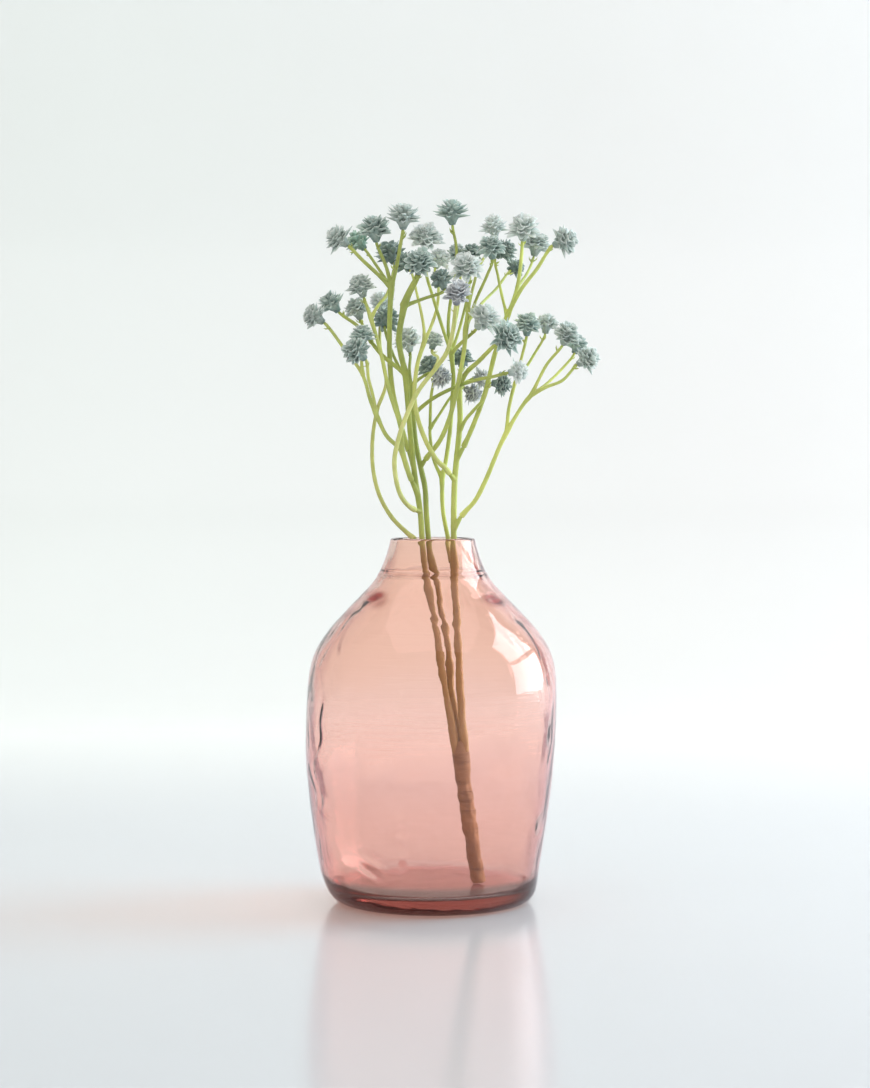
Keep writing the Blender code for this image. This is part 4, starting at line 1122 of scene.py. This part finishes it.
def build_stem(name, seed):
    runs = STEMS[name][1]
    shell, scales = Shell(), Shell()
    rng = random.Random(seed * 101 + 7)
    for k, (points, start_radius, end_radius, head) in enumerate(runs):
        if k == 0:
            line, stations = first_run(name, seed)
        else:
            line, way = run_line(points, head, 0.8)
            stations = swollen(line, start_radius, end_radius, way, seed + 13 * k,
                               flare_in=0.34, flare_out=0.0 if head else 0.24)
        if head:
            face = head_seat(head)[1]
            stations += peg(stations[-1][0], face)
            add_bracts(scales, line, face, end_radius, rng)
        add_tube(shell, stations, STEM_SIDES)
    add_forks(shell, runs)
    for sprig, (parent, _) in STEMS.items():
        if parent == name:
            add_spur(shell, sprig)
    mesh = shell.mesh(f"green_{name}")
    obj = new_object(f"green_{name}", mesh)
    # melt the tubes and balls into one skin
    blend = obj.modifiers.new("blend", "REMESH")
    blend.mode = "VOXEL"
    blend.voxel_size = 0.00024
    ease = obj.modifiers.new("ease", "SMOOTH")
    ease.factor = 0.5
    ease.iterations = 3
    eased = apply_modifiers(obj)
    bpy.data.meshes.remove(mesh)
    mesh = eased
    mesh.name = f"green_{name}"
    face_outward(mesh, extra=scales)
    mesh.shade_smooth()
    mesh.materials.append(stem_material(f"moulded_{name}", *GREENS[name]))
    stand_for(obj, "spray", name)


# ---- handle ----
def tape_bump(angle, share, k):
    """Unevenness of the tape in millimetres, at a share of the turn and a step up the handle."""
    lap = (k * HANDLE_STEP / 4.2 + share) % 1.0
    bump = 0.12 * (lap - 0.5) + 0.40 * circle_noise(angle, 1.3, k * 0.10)
    bump += 0.16 * circle_noise(angle, 2.5, k * 0.30)
    # the strands inside show as ribs
    return bump + 0.26 * (abs(math.cos(1.5 * angle + 0.012 * k)) - 0.6)


def taped_shell():
    knots = [HANDLE_FOOT, Vector((16.2, -3.4, 22.0)), Vector((13.6, -3.4, 41.0)), HANDLE_TOP]
    line = smooth_line(knots, HANDLE_STEP)
    body_count = len(line) - 1
    line += [line[-1] + HANDLE_AXIS * HANDLE_STEP * k
             for k in range(1, int(TAPE_RUN / HANDLE_STEP) + 1)]
    ways = directions(line, HANDLE_AXIS)
    count = len(line) - 1
    sides = 48
    shell = Shell()
    side = ways[0].orthogonal().normalized()
    for k, (point, way) in enumerate(zip(line, ways)):
        place = min(3.0, 3.0 * k / body_count)
        low = min(int(place), 2)
        radius = HANDLE_RADII[low] + (HANDLE_RADII[low + 1] - HANDLE_RADII[low]) * (place - low)
        over_stems = max(0.0, (k - body_count) / (count - body_count))
        radius *= 1.0 - (1.0 - TAPE_END) * over_stems
        rounding = 0.86 + 0.14 * min(1.0, min(k, count - k) / 2.0)
        near_top = min(1.0, max(0.0, (k - body_count + 24) / 8.0))
        radii = []
        for j in range(sides):
            bump = tape_bump(2 * math.pi * j / sides, j / sides, k) * (1.0 - 0.6 * near_top)
            radii.append((radius * (0.95 + 0.07 * near_top) + bump) * rounding)
        side = across_way(side, way)
        shell.ring(around(point, side, way, radii))
    shell.close()
    return shell


def build_handle():
    """The thick lower stem, wrapped in uneven tape and bored for the three main stems."""
    mesh = taped_shell().mesh("taped_handle")
    mesh.materials.append(handle_material())
    obj = new_object("taped_handle", mesh)
    cutters = []
    for name in SOCKET_TURNS:
        foot = stem_socket(name)
        bore = Shell()
        add_tube(bore, [(foot + HANDLE_AXIS * reach, SOCKET_RADIUS - 0.1, HANDLE_AXIS)
                        for reach in (-SOCKET_DEPTH, 3.0 + TAPE_RUN)], 24)
        cutter = new_object("socket", bore.mesh("socket"))
        cut = obj.modifiers.new("socket", "BOOLEAN")
        cut.operation = "DIFFERENCE"
        cut.solver = "EXACT"
        cut.object = cutter
        cutters.append(cutter)
    mesh = apply_modifiers(obj)
    for cutter in cutters:
        bpy.data.objects.remove(cutter, do_unlink=True)
    mesh.shade_smooth()
    mesh.set_sharp_from_angle(angle=math.radians(50))
    stand_for(obj, "spray", "stem_handle")


# ---- heads ----
PETAL_CUP = 0.9
# whorls from the lowest and widest to the bud: count; then root radius, root height, length
# and width as shares of the head; lift in radians, curl
WHORLS = (
    (8, 0.30, 0.56, 0.80, 0.50, 0.04, -0.04),
    (8, 0.30, 0.74, 0.76, 0.60, 0.20, 0.06),
    (8, 0.27, 0.90, 0.68, 0.58, 0.36, 0.16),
    (7, 0.22, 1.06, 0.58, 0.54, 0.56, 0.24),
    (6, 0.15, 1.20, 0.48, 0.46, 0.80, 0.26),
    (5, 0.09, 1.32, 0.40, 0.38, 1.02, 0.18),
    (4, 0.04, 1.42, 0.30, 0.30, 1.25, -0.05),
)


def add_petal(shell, looks, matrix, length, width, lift, point, thick, curl, shade, rng):
    """A thick petal: root at the origin, growing along +x, cupped upwards.

    The point is 0 for a spoon and 1 for a spike.
    """
    rows, columns = ((9, 6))
    base = len(shell.verts)
    twist = rng.uniform(-0.14, 0.14)
    sway = rng.uniform(-0.10, 0.10)
    phase = rng.uniform(0.0, 6.28)
    for layer in (0, 1):
        for i in range(rows + 1):
            along = 1.0 - (1.0 - i / rows) ** 1.6
            spoon = (4.0 * along * (1.0 - along)) ** 0.42 * (0.62 + 0.5 * along)
            spike = math.sin(math.pi * along ** 0.8) ** 0.95 * (1.0 - 0.35 * along)
            half = spoon * (1.0 - point) + spike * point
            half = max(half, 0.36 * (1.0 - 2.0 * along), 0.03) * width * 0.5
            reach = length * (along + 0.05 * (1.0 - point) * max(0.0, along - 0.93) / 0.07)
            x = reach * (math.cos(lift * 0.5) - 0.10 * along * abs(curl))
            z = reach * (math.sin(lift) + 0.5 * curl * along)
            tip = max(0.0, (along - 0.70) / 0.30) ** 1.3
            for j in range(columns + 1):
                across = 2.0 * j / columns - 1.0
                y = half * across + sway * length * along * along
                dip = PETAL_CUP * (half * across) ** 2 / (width * 0.5)
                body = thick * (1.0 - 0.55 * abs(across) ** 2.5) * (1.0 - 0.6 * along ** 3)
                lower = -body if layer else 0.0
                ripple = 0.035 * width * math.sin(6.0 * along + 3.0 * across + phase)
                height = z + dip + lower + ripple * abs(across)
                shell.verts.append(metres(matrix @ Vector((x, y + twist * x * 0.3, height))))
                edge = max(abs(across) ** 3.0 * min(1.0, 2.2 * along), tip)
                looks.append((edge * (0.8 if layer else 1.0), along, shade))
    row = columns + 1
    other = (rows + 1) * row
    for i in range(rows):
        for j in range(columns):
            upper = base + i * row + j
            under = upper + other
            shell.faces.append((upper, upper + row, upper + row + 1, upper + 1))
            shell.faces.append((under, under + 1, under + row + 1, under + row))
    for i in range(rows):  # side skins
        upper = base + i * row
        under = upper + other
        shell.faces.append((upper, under, under + row, upper + row))
        upper, under = upper + columns, under + columns
        shell.faces.append((upper, upper + row, under + row, under))
    for j in range(columns):  # root and tip skins
        upper = base + j
        under = upper + other
        shell.faces.append((upper, upper + 1, under + 1, under))
        upper, under = upper + rows * row, under + rows * row
        shell.faces.append((upper, under, under + 1, upper + 1))


def add_cup(shell, looks, radius, top, flutes):
    """A fluted cone from the socket's mouth to the outer petals, closed under the bud."""
    sides = 36
    profile = (  # radius, height, root value
        (PEG_RADIUS + 0.32, 0.25, 0.0), (1.02, 0.0, 0.05), (1.25, 0.12, 0.1),
        (0.30 * radius, 0.30 * top, 0.25), (0.42 * radius, 0.5 * top, 0.4),
        (0.50 * radius, 0.72 * top, 0.5), (0.44 * radius, 0.95 * top, 0.4),
        (0.26 * radius, 1.25 * top, 0.3),
    )
    for ring_radius, z, root in profile:
        ring = []
        for k in range(sides):
            angle = 2 * math.pi * k / sides
            flute = math.cos(flutes * angle)
            reach = ring_radius * (1.0 + 0.075 * flute * min(1.0, z / (0.4 * top)))
            ring.append((reach * math.cos(angle) * MM, reach * math.sin(angle) * MM, z * MM))
            looks.append((0.12 + 0.12 * flute, root, 0.35))
        shell.ring(ring)
    shell.close_to((0.0, 0.0, 1.42 * top * MM))
    looks.append((0.0, 0.2, 0.35))


def build_head(number):
    """A rosette: seven whorls of thick petals opening from a fluted cup."""
    _, _, radius, tone = HEADS[number]
    seat, way = head_seat(number)
    rng = random.Random(number * 7919 + 3)
    top = cup_height(radius)
    spiky = number in SPIKY_HEADS
    shell = Shell()
    looks = []  # edge, root and shade of each point
    add_cup(shell, looks, radius, top, flutes=7 + number % 3)
    start = rng.uniform(0, 2 * math.pi)
    cupped = rng.uniform(-0.05, 0.13)
    for whorl, (count, root_radius, root_height, length, width, lift, curl) in enumerate(WHORLS):
        start += math.pi / count + rng.uniform(-0.15, 0.15)
        for k in range(count):
            turn = start + 2 * math.pi * k / count + rng.uniform(-0.22, 0.22)
            shade = rng.uniform(0.15, 0.95)
            pitch = lift + cupped + rng.uniform(-0.20, 0.20)
            pitch += 0.08 if spiky and whorl < 2 else 0.0
            if (spiky and whorl < 4) or (whorl < 3 and rng.random() < 0.42):
                point, stretch, narrowing = 0.95, 1.12, 0.74
            else:
                point, stretch, narrowing = rng.uniform(0.1, 0.6), 1.0, 1.0
            petal_length = length * radius * rng.uniform(0.74, 1.10) * stretch
            petal_width = width * radius * rng.uniform(0.84, 1.14) * narrowing
            root = Matrix.Translation((root_radius * radius, 0, root_height * top))
            roll = Matrix.Rotation(rng.uniform(-0.36, 0.36), 4, "X")
            add_petal(shell, looks, Matrix.Rotation(turn, 4, "Z") @ root @ roll,
                      petal_length, petal_width, pitch, point, thick=0.055 * radius + 0.12,
                      curl=curl + rng.uniform(-0.18, 0.18), shade=shade, rng=rng)
    mesh = shell.mesh(f"rosette_{number:02d}")
    edge, root, shade = zip(*looks)
    add_values(mesh, edge=edge, root=root, shade=shade)
    face_outward(mesh)
    turned = way.to_track_quat("Z", "Y").to_matrix().to_4x4()
    mesh.transform(Matrix.Translation(seat * MM) @ turned)
    mesh.shade_smooth()
    mesh.materials.append(PETAL_MATERIALS[tone])
    stand_for(new_object(f"rosette_{number:02d}", mesh), "spray", f"head_{number:02d}")


# ---- stage, metres ----
SWEEP_HALF = 3.0
SWEEP_FRONT = -2.6
SWEEP_BACK = 1.15
SWEEP_RISE = 2.4
SWEEP_BEND = 0.5
TABLE_TONES = ((0.79, 0.80, 0.805), (0.82, 0.83, 0.83))
# painted light: an emission on the table behind the vase and up the wall, standing in for light
# washed over them
WALL_PAINTED_LIGHT_LEFT = (0.254, 0.264, 0.214)
WALL_PAINTED_LIGHT_RIGHT = (0.161, 0.115, 0.065)
WALL_PAINTED_LIGHT_DROP = 0.06  # share of the glow lost up the wall
BACKGROUND = (0.86, 0.885, 0.885)


def table_material():
    mat = new_material("pale_table")
    x, y, z = mat.axes()
    colour = mat.mix(mat.noise(scale=6.0), *TABLE_TONES)
    painted_light = mat.mix(mat.span(x, low=-0.42, high=0.42), WALL_PAINTED_LIGHT_LEFT, WALL_PAINTED_LIGHT_RIGHT)
    # painted light, an emission standing in for light washed over the wall: it sets in behind the
    # vase, thins up the wall and ends towards the sides
    fade = mat.rest(mat.times(mat.span(z, low=0.10, high=0.70), WALL_PAINTED_LIGHT_DROP))
    backward = mat.times(mat.span(y, low=0.15, high=0.95), fade)
    sides = mat.span(mat.math("ABSOLUTE", x), low=1.6, high=0.75)
    # satin to the eye, plain where the glass mirrors it
    direct = mat.math("LESS_THAN", mat.light_path()["Glossy Depth"], 0.5)
    shader = mat.principled(
        Base_Color=colour, Roughness=0.16, Specular_IOR_Level=mat.times(direct, 0.5), IOR=1.45,
        Emission_Color=painted_light, Emission_Strength=mat.times(backward, sides))
    # far out and behind the camera the table melts into the pale room
    haze = mat.math("MAXIMUM", mat.span(mat.times(y, -1.0), low=0.45, high=1.5),
                    mat.span(mat.math("ABSOLUTE", x), low=0.75, high=1.7))
    haze = mat.times(haze, mat.light_path()["Is Camera Ray"])
    air = mat.filled("ShaderNodeEmission", Color=BACKGROUND)
    return mat.finish(mat.mix_shaders(haze, shader, air))


def build_stage():
    """A seamless pale sweep: a satin table running back into a wall, both with soft painted light
    that glows behind the vase.
    """
    bend_y = SWEEP_BACK - SWEEP_BEND
    profile = [(SWEEP_FRONT, 0.0), (bend_y, 0.0)]
    for k in range(1, 25):
        turn = math.pi / 2 * k / 24
        profile.append((bend_y + SWEEP_BEND * math.sin(turn),
                        SWEEP_BEND - SWEEP_BEND * math.cos(turn)))
    profile.append((SWEEP_BACK, SWEEP_RISE))
    shell = Shell()
    shell.verts = [(x, y, z) for x in (-SWEEP_HALF, SWEEP_HALF) for y, z in profile]
    count = len(profile)
    shell.faces = [(k, count + k, count + k + 1, k + 1) for k in range(count - 1)]
    mesh = shell.mesh("sweep")
    mesh.shade_smooth()
    mesh.materials.append(table_material())
    new_object("sweep", mesh)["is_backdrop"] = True


# ---- lights and camera, metres ----
WINDOW_TURN = 13.5  # degrees behind the line straight to the right
WINDOW_DISTANCE = 1.6
WINDOW_WIDTH = 1.22
WINDOW_PANES = ((0.02, 0.70), (0.82, 1.95))  # bottom and top, a bar between them
WINDOW_LIGHT = (3.9, 4.58, 5.04)
CEILING_LIGHT = (0.58, 0.545, 0.565)
SPRAY_FILL = (1.5, 1.5, 1.45)
ROOM_LIGHT = (0.30, 0.30, 0.30)
SENSOR_WIDTH = 36.0  # millimetres
LENS = 104.482759  # millimetres
LENS_SHIFT = 0.0022988506  # share of the view's width
CAMERA_DISTANCE = 1.010
CAMERA_HEIGHT = 0.174
CAMERA_DIP = 1.7240257333  # degrees below level


def area_light(name, place, towards, width, height, radiance):
    data = bpy.data.lights.new(name, "AREA")
    data.shape = "RECTANGLE"
    data.size = width
    data.size_y = height
    data.energy = 4.0 * max(radiance) * width * height
    data.color = [level / max(radiance) for level in radiance]
    obj = bpy.data.objects.new(name, data)
    obj.location = place
    obj.rotation_euler = (Vector(towards) - Vector(place)).to_track_quat("-Z", "Y").to_euler()
    scene.collection.objects.link(obj)
    return obj


def build_lights():
    """A tall window to the right and a little behind, a soft ceiling, and a fill for the spray."""
    turn = math.radians(WINDOW_TURN)
    way = Vector((math.cos(turn), math.sin(turn), 0.0))
    for k, (low, high) in enumerate(WINDOW_PANES):
        place = way * WINDOW_DISTANCE + Vector((0, 0, (low + high) / 2))
        area_light(f"window_pane_{k}", place, towards=place - way, width=WINDOW_WIDTH,
                   height=high - low, radiance=WINDOW_LIGHT)
    area_light("ceiling", (0.0, -0.2, 2.3), towards=(0, -0.1, 0), width=2.6, height=2.4,
               radiance=CEILING_LIGHT)
    fill = area_light("spray_fill", (-0.5, -1.7, 0.9), towards=(0, 0, 0.2), width=1.6,
                      height=1.6, radiance=SPRAY_FILL)
    spray = bpy.data.collections.new("lit_by_fill")
    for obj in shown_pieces():
        if obj.name.startswith(("green_", "rosette_", "taped_")):
            spray.objects.link(obj)
    fill.light_linking.receiver_collection = spray


def build_world():
    """Dim light from the room, which the camera sees as a pale background."""
    scene.world = bpy.data.worlds.new("room")
    room = Nodes(scene.world, "ShaderNodeOutputWorld")
    shades = [room.filled("ShaderNodeBackground", Color=level)
              for level in (ROOM_LIGHT, BACKGROUND)]
    room.finish(room.mix_shaders(room.light_path()["Is Camera Ray"], *shades))


def build_camera():
    data = bpy.data.cameras.new("camera")
    data.sensor_fit = "HORIZONTAL"
    data.sensor_width = SENSOR_WIDTH
    data.lens = LENS
    data.shift_x = LENS_SHIFT
    data.clip_start = 0.05
    data.clip_end = 20.0
    obj = new_object("camera", data)
    obj.location = (0.0, -CAMERA_DISTANCE, CAMERA_HEIGHT)
    obj.rotation_euler = (math.radians(90.0 - CAMERA_DIP), 0.0, 0.0)
    scene.camera = obj


PETAL_MATERIALS = {
    tone: petal_material(f"petals_{tone}", *colours) for tone, colours in PETALS.items()
}
build_vase()
build_handle()
for index, stem_name in enumerate(STEMS):
    build_stem(stem_name, index + 1)
for head_number in HEADS:
    build_head(head_number)
build_stage()
build_lights()
build_world()
build_camera()
scene.view_settings.view_transform = "Standard"
scene.view_settings.look = "None"
scene.cycles.max_bounces = 16
scene.cycles.transmission_bounces = 14
scene.cycles.transparent_max_bounces = 16
